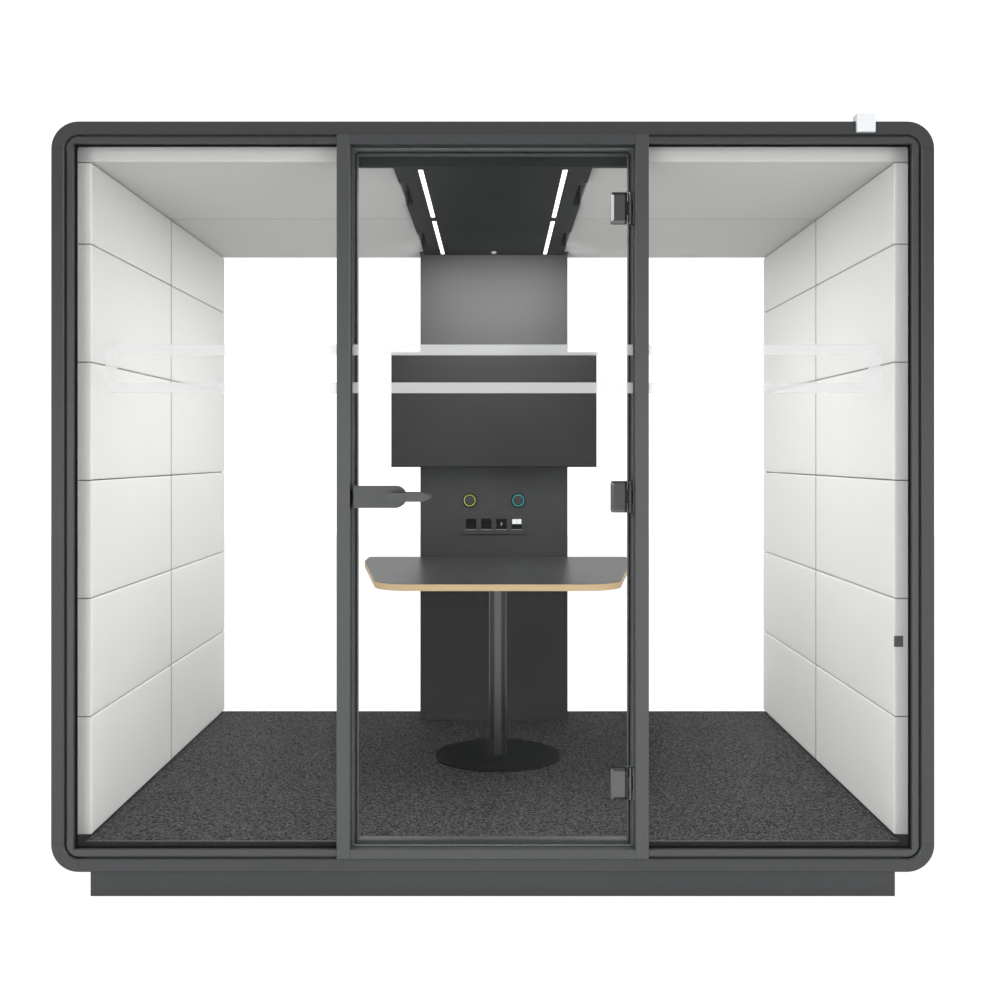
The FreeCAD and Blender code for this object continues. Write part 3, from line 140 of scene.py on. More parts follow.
eye = bpy.data.cameras.new("eye")
eye.lens = cameraSet["lens"]
eye.shift_x, eye.shift_y = cameraSet["shift"]
eyeObject = bpy.data.objects.new("eye", eye)
eyeObject.location = cameraSet["place"]
eyeObject.rotation_euler = (math.pi / 2, 0, 0)
scene.collection.objects.link(eyeObject)
scene.camera = eyeObject

# studio: white surround, soft lamps outside and small lamps under the light strips
studioSet = {
    "worldLight": 0.72,
    "backdrop": 1.4,
    "lamps": {
        "keyLamp": {"place": (-2.6, -6.2, 1.0), "aim": (0, 0, 1.0), "size": 3.0, "power": 112},
        "fillLamp": {"place": (3.4, -6.0, 1.0), "aim": (0, 0, 1.0), "size": 3.0, "power": 112},
        "roofLamp": {"place": (0.5, 1.0, 6.5), "aim": (0, 0, 0), "size": 5.0, "power": 60},
        "rearLamp": {"place": (0, 6.0, 2.6), "aim": (0, 0, 1.1), "size": 5.0, "power": 60},
    },
    "cabinLamps": {"width": 0.05, "drop": 0.012, "inset": 0.01, "power": 7.0, "rearTrim": 0.16},
    "columnLamp": {"place": (0.016, 0.25, 2.12), "aim": (0.016, 0.742, 1.88), "size": 0.45, "power": 3.9,
                   "sizeY": 0.08, "spread": math.radians(110)},
    "mirrored": {"front": 0.4, "frontHigh": 0.38, "frontRise": (0.05, 0.35), "side": 0.1, "sideHigh": 4.5,
                 "sideRise": (0.05, 0.16), "sideTurn": (0.45, 0.75), "back": 0.75, "backTurn": (-0.15, 0.25)},
}


def addLamp(name, place, aim, size, power, sizeY=None, spread=math.pi):
    lamp = bpy.data.lights.new(name, "AREA")
    lamp.shape = "RECTANGLE"
    lamp.size = size
    lamp.size_y = sizeY or size
    lamp.energy = power
    lamp.spread = spread
    lampObject = bpy.data.objects.new(name, lamp)
    lampObject.location = place
    lampObject.rotation_euler = (Vector(aim) - Vector(place)).to_track_quat("-Z", "Y").to_euler()
    lampObject.visible_camera = lampObject.visible_glossy = False
    scene.collection.objects.link(lampObject)


for lampName, lampData in studioSet["lamps"].items():
    addLamp(lampName, **lampData)

stripLow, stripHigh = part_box("led_diffusers")
cabinSet = studioSet["cabinLamps"]
stripHalf = (stripHigh[1] - stripLow[1]) / 4
for side in (-1, 1):
    for half in (-1, 1):
        trim = cabinSet["rearTrim"] if half > 0 else 0
        middleY = (stripLow[1] + stripHigh[1] - trim) / 2 + half * stripHalf
        spot = (side * (stripHigh[0] - cabinSet["inset"]), middleY, stripLow[2] - cabinSet["drop"])
        addLamp("cabinLamp", spot, (spot[0], spot[1], 0), cabinSet["width"], cabinSet["power"],
                2 * stripHalf - trim)

addLamp("columnLamp", **studioSet["columnLamp"])

# world: white to look at and softer as light; reflections see a dim front, bright high sides and a grey back
world = bpy.data.worlds.new("studio")
scene.world = world
world.use_nodes = True
worldTree = world.node_tree
backdrop = worldTree.nodes["Background"]
backdrop.inputs["Color"].default_value = (1, 1, 1, 1)
rays = addNode(worldTree, "LightPath").outputs
heading = splitVector(worldTree, addNode(worldTree, "TexCoord").outputs["Generated"])
mirrorSet = studioSet["mirrored"]
frontGlow = rangeNode(worldTree, heading["Z"], *mirrorSet["frontRise"], mirrorSet["front"], mirrorSet["frontHigh"])
sideGlow = rangeNode(worldTree, heading["Z"], *mirrorSet["sideRise"], mirrorSet["side"], mirrorSet["sideHigh"])
sideways = rangeNode(worldTree, mathNode(worldTree, "MULTIPLY", heading["X"], heading["X"]), *mirrorSet["sideTurn"])
behind = rangeNode(worldTree, heading["Y"], *mirrorSet["backTurn"])
ahead = mixNode(worldTree, "FLOAT", sideways, frontGlow, sideGlow)
mirrored = mixNode(worldTree, "FLOAT", behind, ahead, mirrorSet["back"])
seen = mathNode(worldTree, "MAXIMUM", rays["Is Camera Ray"], rays["Is Transmission Ray"])
level = mixNode(worldTree, "FLOAT", seen, studioSet["worldLight"], studioSet["backdrop"])
worldTree.links.new(mixNode(worldTree, "FLOAT", rays["Is Glossy Ray"], level, mirrored), backdrop.inputs["Strength"])
print("camera and studio ready")


# shader groups, and materials that use them
def newGroup(name, inputs, outputs):
    tree = bpy.data.node_groups.new(name, "ShaderNodeTree")
    for label, kind, value in inputs:
        socket = tree.interface.new_socket(label, in_out="INPUT", socket_type="NodeSocket" + kind)
        socket.default_value = value
    for label, kind in outputs:
        tree.interface.new_socket(label, in_out="OUTPUT", socket_type="NodeSocket" + kind)
    start = tree.nodes.new("NodeGroupInput")
    end = tree.nodes.new("NodeGroupOutput")
    return tree, start.outputs, end.inputs


# fine grain: two sizes of noise that shade a colour, vary the gloss and raise the surface
grainSet = {"fine": {"Detail": 2.0, "Roughness": 0.6}, "cloud": {"Detail": 3.0, "Roughness": 0.55},
            "fineShare": 0.6, "cloudShare": 0.4, "middle": 0.5}
grainTree, grainIn, grainOut = newGroup(
    "surfaceGrain",
    [("Place", "Vector", (0, 0, 0)), ("Colour", "Color", (0.5, 0.5, 0.5, 1)), ("Fine Size", "Float", 900.0),
     ("Cloud Size", "Float", 5.0), ("Colour Spread", "Float", 0.1), ("Gloss", "Float", 0.5),
     ("Gloss Spread", "Float", 0.1)],
    [("Colour", "Color"), ("Gloss", "Float"), ("Height", "Float")])
fineNoise = noiseNode(grainTree, grainIn["Place"], **grainSet["fine"])
cloudNoise = noiseNode(grainTree, grainIn["Place"], **grainSet["cloud"])
grainTree.links.new(grainIn["Fine Size"], fineNoise.inputs["Scale"])
grainTree.links.new(grainIn["Cloud Size"], cloudNoise.inputs["Scale"])
mixedNoise = mathNode(grainTree, "ADD",
                      mathNode(grainTree, "MULTIPLY", fineNoise.outputs[0], grainSet["fineShare"]),
                      mathNode(grainTree, "MULTIPLY", cloudNoise.outputs[0], grainSet["cloudShare"]))
swing = mathNode(grainTree, "SUBTRACT", mixedNoise, grainSet["middle"])
shade = mathNode(grainTree, "ADD", mathNode(grainTree, "MULTIPLY", swing, grainIn["Colour Spread"]), 1.0)
grainTree.links.new(scaled(grainTree, grainIn["Colour"], shade), grainOut["Colour"])
cloudSwing = mathNode(grainTree, "SUBTRACT", cloudNoise.outputs[0], grainSet["middle"])
glossSwing = mathNode(grainTree, "MULTIPLY", cloudSwing, grainIn["Gloss Spread"])
grainTree.links.new(mathNode(grainTree, "ADD", grainIn["Gloss"], glossSwing), grainOut["Gloss"])
grainTree.links.new(fineNoise.outputs[0], grainOut["Height"])

# plain weave: two sets of threads that pass over and under, with slubs
weaveSet = {"slub": {"Scale": 260.0, "Detail": 3.0, "Roughness": 0.7}, "relief": 0.5, "contrast": 0.5,
            "balance": 0.4}
weaveTree, weaveIn, weaveOut = newGroup(
    "plainWeave",
    [("Across", "Float", 0.0), ("Along", "Float", 0.0), ("Place", "Vector", (0, 0, 0)), ("Thread", "Float", 0.002),
     ("Light", "Color", (0.8, 0.8, 0.8, 1)), ("Dark", "Color", (0.6, 0.6, 0.6, 1)), ("Slub", "Float", 0.4)],
    [("Colour", "Color"), ("Height", "Float")])


def threadWave(coordinate):
    turns = mathNode(weaveTree, "DIVIDE", coordinate, weaveIn["Thread"])
    return mathNode(weaveTree, "SINE", mathNode(weaveTree, "MULTIPLY", turns, 2 * math.pi))


overUnder = mathNode(weaveTree, "MULTIPLY", threadWave(weaveIn["Across"]), threadWave(weaveIn["Along"]))
slubNoise = noiseNode(weaveTree, weaveIn["Place"], **weaveSet["slub"])
slubPart = mathNode(weaveTree, "MULTIPLY", slubNoise.outputs[0], weaveIn["Slub"])
threadHeight = mathNode(weaveTree, "ADD", mathNode(weaveTree, "MULTIPLY", overUnder, weaveSet["relief"]), slubPart)
weaveTree.links.new(threadHeight, weaveOut["Height"])
weaveShade = mathNode(weaveTree, "ADD", mathNode(weaveTree, "MULTIPLY", threadHeight, weaveSet["contrast"]),
                      weaveSet["balance"])
weaveTree.links.new(mixNode(weaveTree, "RGBA", weaveShade, weaveIn["Dark"], weaveIn["Light"]), weaveOut["Colour"])
print("shader groups ready")


def newMaterial(name, **shader):
    material = bpy.data.materials.new(name)
    material.use_nodes = True
    tree = material.node_tree
    bsdf = tree.nodes["Principled BSDF"]
    for key, value in shader.items():
        bsdf.inputs[key].default_value = value
    spot = addNode(tree, "TexCoord")
    return material, tree, bsdf, spot.outputs["Object"]


def addBump(tree, bsdf, height, strength, distance):
    bump = addNode(tree, "Bump", Strength=strength, Distance=distance)
    tree.links.new(height, bump.inputs["Height"])
    tree.links.new(bump.outputs[0], bsdf.inputs["Normal"])


def grainMaterial(name, colour, gloss, fine=900.0, cloud=5.0, spread=0.1, glossSpread=0.1, bump=0.08,
                  depth=0.0003, sheen=0.5, **shader):
    material, tree, bsdf, spot = newMaterial(name, **shader)
    bsdf.inputs["Specular IOR Level"].default_value = sheen
    grain = tree.nodes.new("ShaderNodeGroup")
    grain.node_tree = grainTree
    tree.links.new(spot, grain.inputs["Place"])
    for key, value in (("Colour", (*colour, 1)), ("Fine Size", fine), ("Cloud Size", cloud),
                       ("Colour Spread", spread), ("Gloss", gloss), ("Gloss Spread", glossSpread)):
        grain.inputs[key].default_value = value
    tree.links.new(grain.outputs["Colour"], bsdf.inputs["Base Color"])
    tree.links.new(grain.outputs["Gloss"], bsdf.inputs["Roughness"])
    addBump(tree, bsdf, grain.outputs["Height"], bump, depth)
    return material


# painted, moulded and bare finishes, by material slot or by name
coat = {"gloss": 0.46, "fine": 1500, "spread": 0.1, "bump": 0.1}
polish = {"gloss": 0.3, "fine": 2200, "spread": 0.06, "glossSpread": 0.04, "bump": 0.03, "Metallic": 1.0}
finishSet = {
    "frame_paint": {"colour": (0.054, 0.056, 0.058), **coat},
    "panel_board": {"colour": (0.054, 0.056, 0.058), "gloss": 0.52, "fine": 1100, "spread": 0.1, "bump": 0.08},
    "base_steel": {"colour": (0.05, 0.052, 0.054), "gloss": 0.5, "fine": 1200, "bump": 0.1},
    "bead_paint": {"colour": (0.07, 0.072, 0.074), "gloss": 0.4, "fine": 1500, "spread": 0.08, "bump": 0.08},
    "gasket_rubber": {"colour": (0.007, 0.007, 0.007), "gloss": 0.72, "fine": 600, "bump": 0.15, "sheen": 0.15},
    "sill_metal": {"colour": (0.075, 0.078, 0.08), "gloss": 0.45, "fine": 1800, "spread": 0.1, "bump": 0.08},
    "hinge_metal": {"colour": (0.232, 0.236, 0.238), **polish},
    # painted light: a lighter copy of the hinge metal sets the lever apart from the parts behind it
    "leverMetalLit": {"colour": (0.25, 0.255, 0.257), **polish},
    "pin_steel": {"colour": (0.42, 0.42, 0.42), "gloss": 0.28, "fine": 2500, "Metallic": 1.0},
    "canopy_paint": {"colour": (0.014, 0.0143, 0.0147), "gloss": 0.6, "fine": 1500, "spread": 0.12, "sheen": 0.15},
    "white_plastic": {"colour": (0.77, 0.8, 0.82), "gloss": 0.34, "fine": 1800, "spread": 0.03, "bump": 0.04},
    "black_plastic": {"colour": (0.003, 0.003, 0.0032), "gloss": 0.42, "fine": 1600, "spread": 0.2, "bump": 0.1,
                      "sheen": 0.08},
    "column_board": {"colour": (0.038, 0.038, 0.039), "gloss": 0.55, "fine": 900, "spread": 0.1, "sheen": 0.2},
    "table_laminate": {"colour": (0.034, 0.034, 0.035), "gloss": 0.34, "fine": 1800, "spread": 0.05,
                       "glossSpread": 0.02, "bump": 0.03, "sheen": 0.3},
    "foot_paint": {"colour": (0.004, 0.004, 0.0042), "gloss": 0.4, "fine": 1500, "spread": 0.05,
                   "glossSpread": 0.01, "bump": 0.005, "depth": 0.0001, "sheen": 0.02},
    "screen_glass": {"colour": (0.019, 0.019, 0.0195), "gloss": 0.36, "fine": 2600, "spread": 0.03,
                     "glossSpread": 0.02, "bump": 0.005, "depth": 0.0001, "sheen": 0.2},
    # painted light and shade: the door posts and sill take lighter copies of the frame paint, the door head a darker
    # one
    "doorPaintLit": {"colour": (0.08, 0.083, 0.085), **coat},
    "sillPaintLit": {"colour": (0.08, 0.083, 0.085), **coat},
    "headPaintShaded": {"colour": (0.046, 0.048, 0.05), **coat},
    "legPaint": {"colour": (0.195, 0.195, 0.197), **polish, "gloss": 0.32, "fine": 1500, "glossSpread": 0.02},
    "hingePlate": {"colour": (0.195, 0.198, 0.201), **polish, "gloss": 0.26, "glossSpread": 0.03},
    "floor_wood": {"colour": (0.03, 0.03, 0.031), "gloss": 0.7, "fine": 350, "spread": 0.5, "bump": 0.2},
    "sensorCap": {"colour": (0.2, 0.203, 0.206), "gloss": 0.45, "fine": 1800, "spread": 0.05, "bump": 0.03},
    "lime_ring": {"colour": (0.92, 0.98, 0.1), "gloss": 0.3, "fine": 1500, "spread": 0.1, "bump": 0.02},
    "teal_ring": {"colour": (0.05, 0.74, 0.73), "gloss": 0.3, "fine": 1500, "spread": 0.1, "bump": 0.02},
}
finishes = {slot: grainMaterial(slot, **values) for slot, values in finishSet.items()}


# a paint's colour is multiplied by a tone that changes over the surface
def toneColour(paintName, factor):
    tree = finishes[paintName].node_tree
    colour = tree.nodes["Principled BSDF"].inputs["Base Color"]
    tree.links.new(scaled(tree, colour.links[0].from_socket, factor), colour)


def paintParts(paintName, output):
    tree = finishes[paintName].node_tree
    return tree, splitVector(tree, tree.nodes["Texture Coordinate"].outputs[output])


# painted light and shade in bands: stops of the door frame are painted lighter than the faces in front of them, and
# the sill's stop darker; painted shade darkens the threshold along its front, and the hinge plates beside their
# knuckles
podFront, podBack = cadBox[0][1], cadBox[1][1]
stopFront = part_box("door_seals")[0][1]
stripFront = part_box("sill_strips")[0][1]
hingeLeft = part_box("hinge_door_leaves")[0][0]
frontShadeWidth = 0.022
knuckleShadeBand = (0.0415, 0.054)
paintedLightBands = {
    "doorPaintLit": {"axis": "Y", "low": stopFront, "high": podBack, "tone": 1.6},
    "headPaintShaded": {"axis": "Y", "low": stopFront, "high": podBack, "tone": 2.4},
    "sillPaintLit": {"axis": "Y", "low": stopFront, "high": podBack, "tone": 0.45},
    "sill_metal": {"axis": "Y", "low": podFront, "high": stripFront + frontShadeWidth, "tone": 0.72},
    "hingePlate": {"axis": "X", "low": hingeLeft + knuckleShadeBand[0], "high": hingeLeft + knuckleShadeBand[1], "tone": 0.3},
}
for paintName, band in paintedLightBands.items():
    paintTree, place = paintParts(paintName, "Object")
    inPaintedBand = mathNode(paintTree, "MULTIPLY", mathNode(paintTree, "GREATER_THAN", place[band["axis"]], band["low"]),
                      mathNode(paintTree, "LESS_THAN", place[band["axis"]], band["high"]))
    toneColour(paintName, mathNode(paintTree, "ADD", mathNode(paintTree, "MULTIPLY", inPaintedBand, band["tone"] - 1), 1.0))

# painted shade: front faces of the frame are painted darker towards the roof, and a little lighter low down
roofShadeSet = {"paints": ("frame_paint", "bead_paint", "doorPaintLit"), "facing": -0.7, "heights": (1.35, 2.1),
           "changes": (0.05, -0.3)}
for paintName in roofShadeSet["paints"]:
    paintTree, facing = paintParts(paintName, "Normal")
    place = paintParts(paintName, "Object")[1]
    roofShade = rangeNode(paintTree, place["Z"], *roofShadeSet["heights"], *roofShadeSet["changes"])
    fronts = mathNode(paintTree, "LESS_THAN", facing["Y"], roofShadeSet["facing"])
    toneColour(paintName, mathNode(paintTree, "ADD", mathNode(paintTree, "MULTIPLY", fronts, roofShade), 1.0))

# painted shade: the leg is painted darker down its flanks than along its front; the threshold is painted darker on its
# upright faces and lighter on top
flankShadeSet = {
    "legPaint": {"axis": "X", "facing": (0.25, 0.55), "tones": (1.0, 0.4)},
    "sill_metal": {"axis": "Y", "facing": (0.3, 0.7), "tones": (1.2, 0.35)},
}
for paintName, values in flankShadeSet.items():
    paintTree, facing = paintParts(paintName, "Normal")
    turned = mathNode(paintTree, "ABSOLUTE", facing[values["axis"]])
    toneColour(paintName, rangeNode(paintTree, turned, *values["facing"], *values["tones"], smooth=True))

# the button rings are lit along a fine line and dark outside it
ringSet = {"trim": 0.0011, "outside": 0.04, "rings": {"lime_ring": "light_ring", "teal_ring": "fan_ring"}}
for paintName, ringName in ringSet["rings"].items():
    paintTree = finishes[paintName].node_tree
    ringLow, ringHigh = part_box(ringName)
    apart = addNode(paintTree, "VectorMath", {"operation": "DISTANCE"})
    paintTree.links.new(paintTree.nodes["Texture Coordinate"].outputs["Object"], apart.inputs[0])
    apart.inputs[1].default_value = ((ringLow[0] + ringHigh[0]) / 2, ringLow[1], (ringLow[2] + ringHigh[2]) / 2)
    inside = mathNode(paintTree, "LESS_THAN", apart.outputs["Value"], (ringHigh[0] - ringLow[0]) / 2 - ringSet["trim"])
    toneColour(paintName, mathNode(paintTree, "MAXIMUM", inside, ringSet["outside"]))

# glass: clear and thin to look through, greyer at a grazing view, green along the cut edges
glassSet = {"tint": (0.62, 0.68, 0.66, 1), "edgeTint": (0.4, 0.46, 0.44, 1), "face": 0.008, "graze": 0.3,
            "edge": 0.5, "edgeFacing": 0.7, "blend": 0.12, "smear": {"Scale": 3.0, "Detail": 4.0}, "gloss": 0.03,
            "bending": 1.5}


def makeGlass():
    material, tree, bsdf, spot = newMaterial("clear_glass", IOR=glassSet["bending"], Roughness=glassSet["gloss"])
    facing = splitVector(tree, tree.nodes["Texture Coordinate"].outputs["Normal"])
    edgeMask = mathNode(tree, "LESS_THAN", mathNode(tree, "ABSOLUTE", facing["Y"]), glassSet["edgeFacing"])
    smear = noiseNode(tree, spot, **glassSet["smear"])
    graze = addNode(tree, "LayerWeight", Blend=glassSet["blend"])
    veil = mathNode(tree, "MULTIPLY", smear.outputs[0], 2 * glassSet["face"])
    faceAlpha = mathNode(tree, "ADD", veil, mathNode(tree, "MULTIPLY", graze.outputs["Facing"], glassSet["graze"]))
    tree.links.new(mixNode(tree, "FLOAT", edgeMask, faceAlpha, glassSet["edge"]), bsdf.inputs["Alpha"])
    tree.links.new(mixNode(tree, "RGBA", edgeMask, glassSet["tint"], glassSet["edgeTint"]), bsdf.inputs["Base Color"])
    return material


finishes["clear_glass"] = makeGlass()

# light strips glow a little unevenly along their length
stripSet = {"glow": 2.0, "dim": (0.93, 0.95, 1.0, 1), "bright": (1, 1, 1, 1), "gloss": 0.5, "cloud": 12.0}


def makeStrip():
    material, tree, bsdf, spot = newMaterial("light_strip", Roughness=stripSet["gloss"])
    bsdf.inputs["Emission Strength"].default_value = stripSet["glow"]
    noise = noiseNode(tree, spot, Scale=stripSet["cloud"])
    colour = mixNode(tree, "RGBA", noise.outputs[0], stripSet["dim"], stripSet["bright"])
    tree.links.new(colour, bsdf.inputs["Emission Color"])
    tree.links.new(colour, bsdf.inputs["Base Color"])
    return material


finishes["light_strip"] = makeStrip()

# plywood: veneers in thin level layers, with end grain and long grain in turn
plySet = {"veneer": 0.0024, "light": (0.74, 0.56, 0.33, 1), "dark": (0.5, 0.33, 0.16, 1), "stretch": (1, 1, 8),
          "grain": {"Scale": 60.0, "Detail": 5.0, "Roughness": 0.65}, "layerShare": 0.3, "grainShare": 0.75,
          "gloss": 0.5, "bump": 0.15, "depth": 0.0004}


def makePlywood():
    material, tree, bsdf, spot = newMaterial("table_ply", Roughness=plySet["gloss"])
    layer = mathNode(tree, "DIVIDE", splitVector(tree, spot)["Z"], plySet["veneer"])
    ripple = mathNode(tree, "SINE", mathNode(tree, "MULTIPLY", layer, math.pi))
    grain = noiseNode(tree, stretched(tree, spot, plySet["stretch"]), **plySet["grain"])
    blend = mathNode(tree, "ADD", mathNode(tree, "MULTIPLY", ripple, plySet["layerShare"]),
                     mathNode(tree, "MULTIPLY", grain.outputs[0], plySet["grainShare"]))
    tree.links.new(mixNode(tree, "RGBA", blend, plySet["light"], plySet["dark"]), bsdf.inputs["Base Color"])
    addBump(tree, bsdf, blend, plySet["bump"], plySet["depth"])
    return material


finishes["table_ply"] = makePlywood()

# carpet: charcoal loop pile with pale flecks
carpetSet = {"loop": 300.0, "dark": (0.012, 0.012, 0.0125, 1), "pale": (0.2, 0.2, 0.2, 1), "stretch": (110, 95, 110),
             "fleck": {"Scale": 1.0, "Detail": 3.0, "Roughness": 0.75}, "fleckRange": (0.42, 0.6), "gloss": 0.95,
             "sheen": 0.15, "bump": 0.6, "depth": 0.002}


def makeCarpet():
    material, tree, bsdf, spot = newMaterial("carpet", Roughness=carpetSet["gloss"])
    bsdf.inputs["Specular IOR Level"].default_value = carpetSet["sheen"]
    fleck = noiseNode(tree, stretched(tree, spot, carpetSet["stretch"]), **carpetSet["fleck"])
    loops = addNode(tree, "TexVoronoi", Scale=carpetSet["loop"])
    tree.links.new(spot, loops.inputs["Vector"])
    sharp = rangeNode(tree, fleck.outputs[0], *carpetSet["fleckRange"])
    rounded = mathNode(tree, "SUBTRACT", 1.0, loops.outputs["Distance"])
    colour = mixNode(tree, "RGBA", mathNode(tree, "MULTIPLY", sharp, rounded), carpetSet["dark"], carpetSet["pale"])
    tree.links.new(colour, bsdf.inputs["Base Color"])
    addBump(tree, bsdf, rounded, carpetSet["bump"], carpetSet["depth"])
    return material


finishes["carpet"] = makeCarpet()

# woven cover of the pads, with painted shade at the joint at mid depth: wall threads run level and upright, ceiling
# threads along and across
clothSet = {
    "wall_fabric": {"light": (0.88, 0.875, 0.86, 1), "dark": (0.78, 0.775, 0.76, 1), "level": False, "joint": 0.45},
    "ceiling_fabric": {"light": (0.7, 0.7, 0.685, 1), "dark": (0.58, 0.58, 0.57, 1), "level": True, "joint": 0.75},
    "thread": 0.0022, "slub": 0.5, "jointShadeRange": (0.003, 0.009), "gloss": 0.92, "fuzz": 0.15, "sheen": 0.2,
    "bump": 0.25, "depth": 0.0006,
}
padLow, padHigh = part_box("wall_pads")
jointY = (padLow[1] + padHigh[1]) / 2


def makeCloth(slot):
    values = clothSet[slot]
    material, tree, bsdf, spot = newMaterial(slot, Roughness=clothSet["gloss"])
    bsdf.inputs["Sheen Weight"].default_value = clothSet["fuzz"]
    bsdf.inputs["Specular IOR Level"].default_value = clothSet["sheen"]
    place = splitVector(tree, spot)
    weave = tree.nodes.new("ShaderNodeGroup")
    weave.node_tree = weaveTree
    tree.links.new(mathNode(tree, "ADD", place["X"], place["Z" if values["level"] else "Y"]), weave.inputs["Across"])
    tree.links.new(place["Y" if values["level"] else "Z"], weave.inputs["Along"])
    tree.links.new(spot, weave.inputs["Place"])
    for key, value in (("Thread", clothSet["thread"]), ("Light", values["light"]), ("Dark", values["dark"]),
                       ("Slub", clothSet["slub"])):
        weave.inputs[key].default_value = value
    # painted shade: the cloth darkens within a few millimetres of the joint between the pads
    fromJoint = mathNode(tree, "ABSOLUTE", mathNode(tree, "SUBTRACT", place["Y"], jointY))
    joint = rangeNode(tree, fromJoint, *clothSet["jointShadeRange"], values["joint"])
    tree.links.new(scaled(tree, weave.outputs["Colour"], joint), bsdf.inputs["Base Color"])
    addBump(tree, bsdf, weave.outputs["Height"], clothSet["bump"], clothSet["depth"])
    return material


finishes["wall_fabric"] = makeCloth("wall_fabric")
finishes["ceiling_fabric"] = makeCloth("ceiling_fabric")

slotOf = {row["node"]: row["material_slot"] for row in frame["record"]["subparts"]}
ownFinish = {"door_posts": "doorPaintLit", "door_sill": "sillPaintLit", "door_head": "headPaintShaded", "table_leg": "legPaint",
             "strike_keeper": "black_plastic", "latch_bolt": "black_plastic", "light_button": "column_board",
             "fan_button": "column_board", "hinge_door_leaves": "hingePlate", "hinge_frame_leaves": "hingePlate",
             "lever_handles": "leverMetalLit", "motion_sensor": "sensorCap"}
for nodeName, nodeObject in nodes.items():
    nodeObject.data.materials.clear()
    nodeObject.data.materials.append(finishes[ownFinish.get(nodeName, slotOf[nodeName])])
print("finishes on", len(nodes), "nodes")


# padded panels: each size is swelled once by a cloth simulation and copied to its other places
millimetres = 1000
padSet = {"merge": 1e-5, "flatAngle": math.radians(1), "sharpAngle": math.radians(60), "bevel": 0.003, "bevelSteps": 2,
          "grid": 0.022, "heldDepth": 0.004, "pressure": 4.0, "frames": 20, "swell": 0.003, "sideways": 0.0006,
          "faceOn": 0.8, "fill": 0.95}


def splitNode(nodeName):
    whole = bmesh.new()
    whole.from_mesh(nodes[nodeName].data)
    bmesh.ops.remove_doubles(whole, verts=whole.verts, dist=padSet["merge"])
    islands, seen = [], set()
    for first in whole.verts:
        if first in seen:
            continue
        seen.add(first)
        island, waiting = [], [first]
        while waiting:
            vert = waiting.pop()
            island.append(vert)
            for edge in vert.link_edges:
                other = edge.other_vert(vert)
                if other not in seen:
                    seen.add(other)
                    waiting.append(other)
        place = {vert: index for index, vert in enumerate(island)}
        faces = dict.fromkeys(face for vert in island for face in vert.link_faces)  # keeps their order
        islands.append(([vert.co.copy() for vert in island],
                        [[place[vert] for vert in face.verts] for face in faces]))
    whole.free()
    return islands


def gridBlock(corners, faces):
    block = bmesh.new()
    verts = [block.verts.new(corner) for corner in corners]
    for face in faces:
        block.faces.new([verts[index] for index in face])
    bmesh.ops.recalc_face_normals(block, faces=block.faces)
    bmesh.ops.dissolve_limit(block, angle_limit=padSet["flatAngle"], verts=block.verts, edges=block.edges)
    sharp = [edge for edge in block.edges if edge.is_manifold and edge.calc_face_angle() > padSet["sharpAngle"]]
    bmesh.ops.bevel(block, geom=sharp, offset=padSet["bevel"], segments=padSet["bevelSteps"], profile=0.5,
                    affect="EDGES")
    for axis in range(3):
        low = min(vert.co[axis] for vert in block.verts)
        high = max(vert.co[axis] for vert in block.verts)
        steps = max(2, round((high - low) / padSet["grid"]))
        normal = [float(axis == other) for other in range(3)]
        for step in range(1, steps):
            spot = [normal[other] * (low + (high - low) * step / steps) for other in range(3)]
            geometry = block.verts[:] + block.edges[:] + block.faces[:]
            bmesh.ops.bisect_plane(block, geom=geometry, plane_co=spot, plane_no=normal)
    mesh = bpy.data.meshes.new("padBlock")
    block.to_mesh(mesh)
    block.free()
    return mesh


def mainAxis(heading):
    return max(range(3), key=lambda index: abs(heading[index]))


def swellPad(mesh, inward):
    rest = [vert.co.copy() for vert in mesh.vertices]
    axis = mainAxis(inward)
    back = min(corner[axis] * inward[axis] for corner in rest)
    pad = bpy.data.objects.new("padTrial", mesh)
    scene.collection.objects.link(pad)
    held = pad.vertex_groups.new(name="held")
    heldEnd = back + padSet["heldDepth"]
    held.add([index for index, corner in enumerate(rest) if corner[axis] * inward[axis] < heldEnd], 1.0, "ADD")
    cloth = pad.modifiers.new("cloth", "CLOTH")
    cloth.settings.vertex_group_mass = "held"
    cloth.settings.use_pressure = True
    cloth.settings.uniform_pressure_force = padSet["pressure"]
    cloth.settings.effector_weights.gravity = 0
    cloth.collision_settings.use_collision = False
    cloth.point_cache.frame_start, cloth.point_cache.frame_end = 1, padSet["frames"]
    for step in range(1, padSet["frames"] + 1):
        scene.frame_set(step)
    shape = pad.evaluated_get(bpy.context.evaluated_depsgraph_get()).to_mesh()
    moves = [vert.co - corner for vert, corner in zip(shape.vertices, rest)]
    pad.modifiers.remove(cloth)
    bpy.data.objects.remove(pad)
    scene.frame_set(1)
    share = padSet["swell"] / max(move.length for move in moves)
    for move in moves:
        for index in range(3):
            limit = padSet["swell"] if index == axis else padSet["sideways"]
            move[index] = max(-limit, min(limit, move[index] * share))
    return [corner + move for corner, move in zip(rest, moves)]


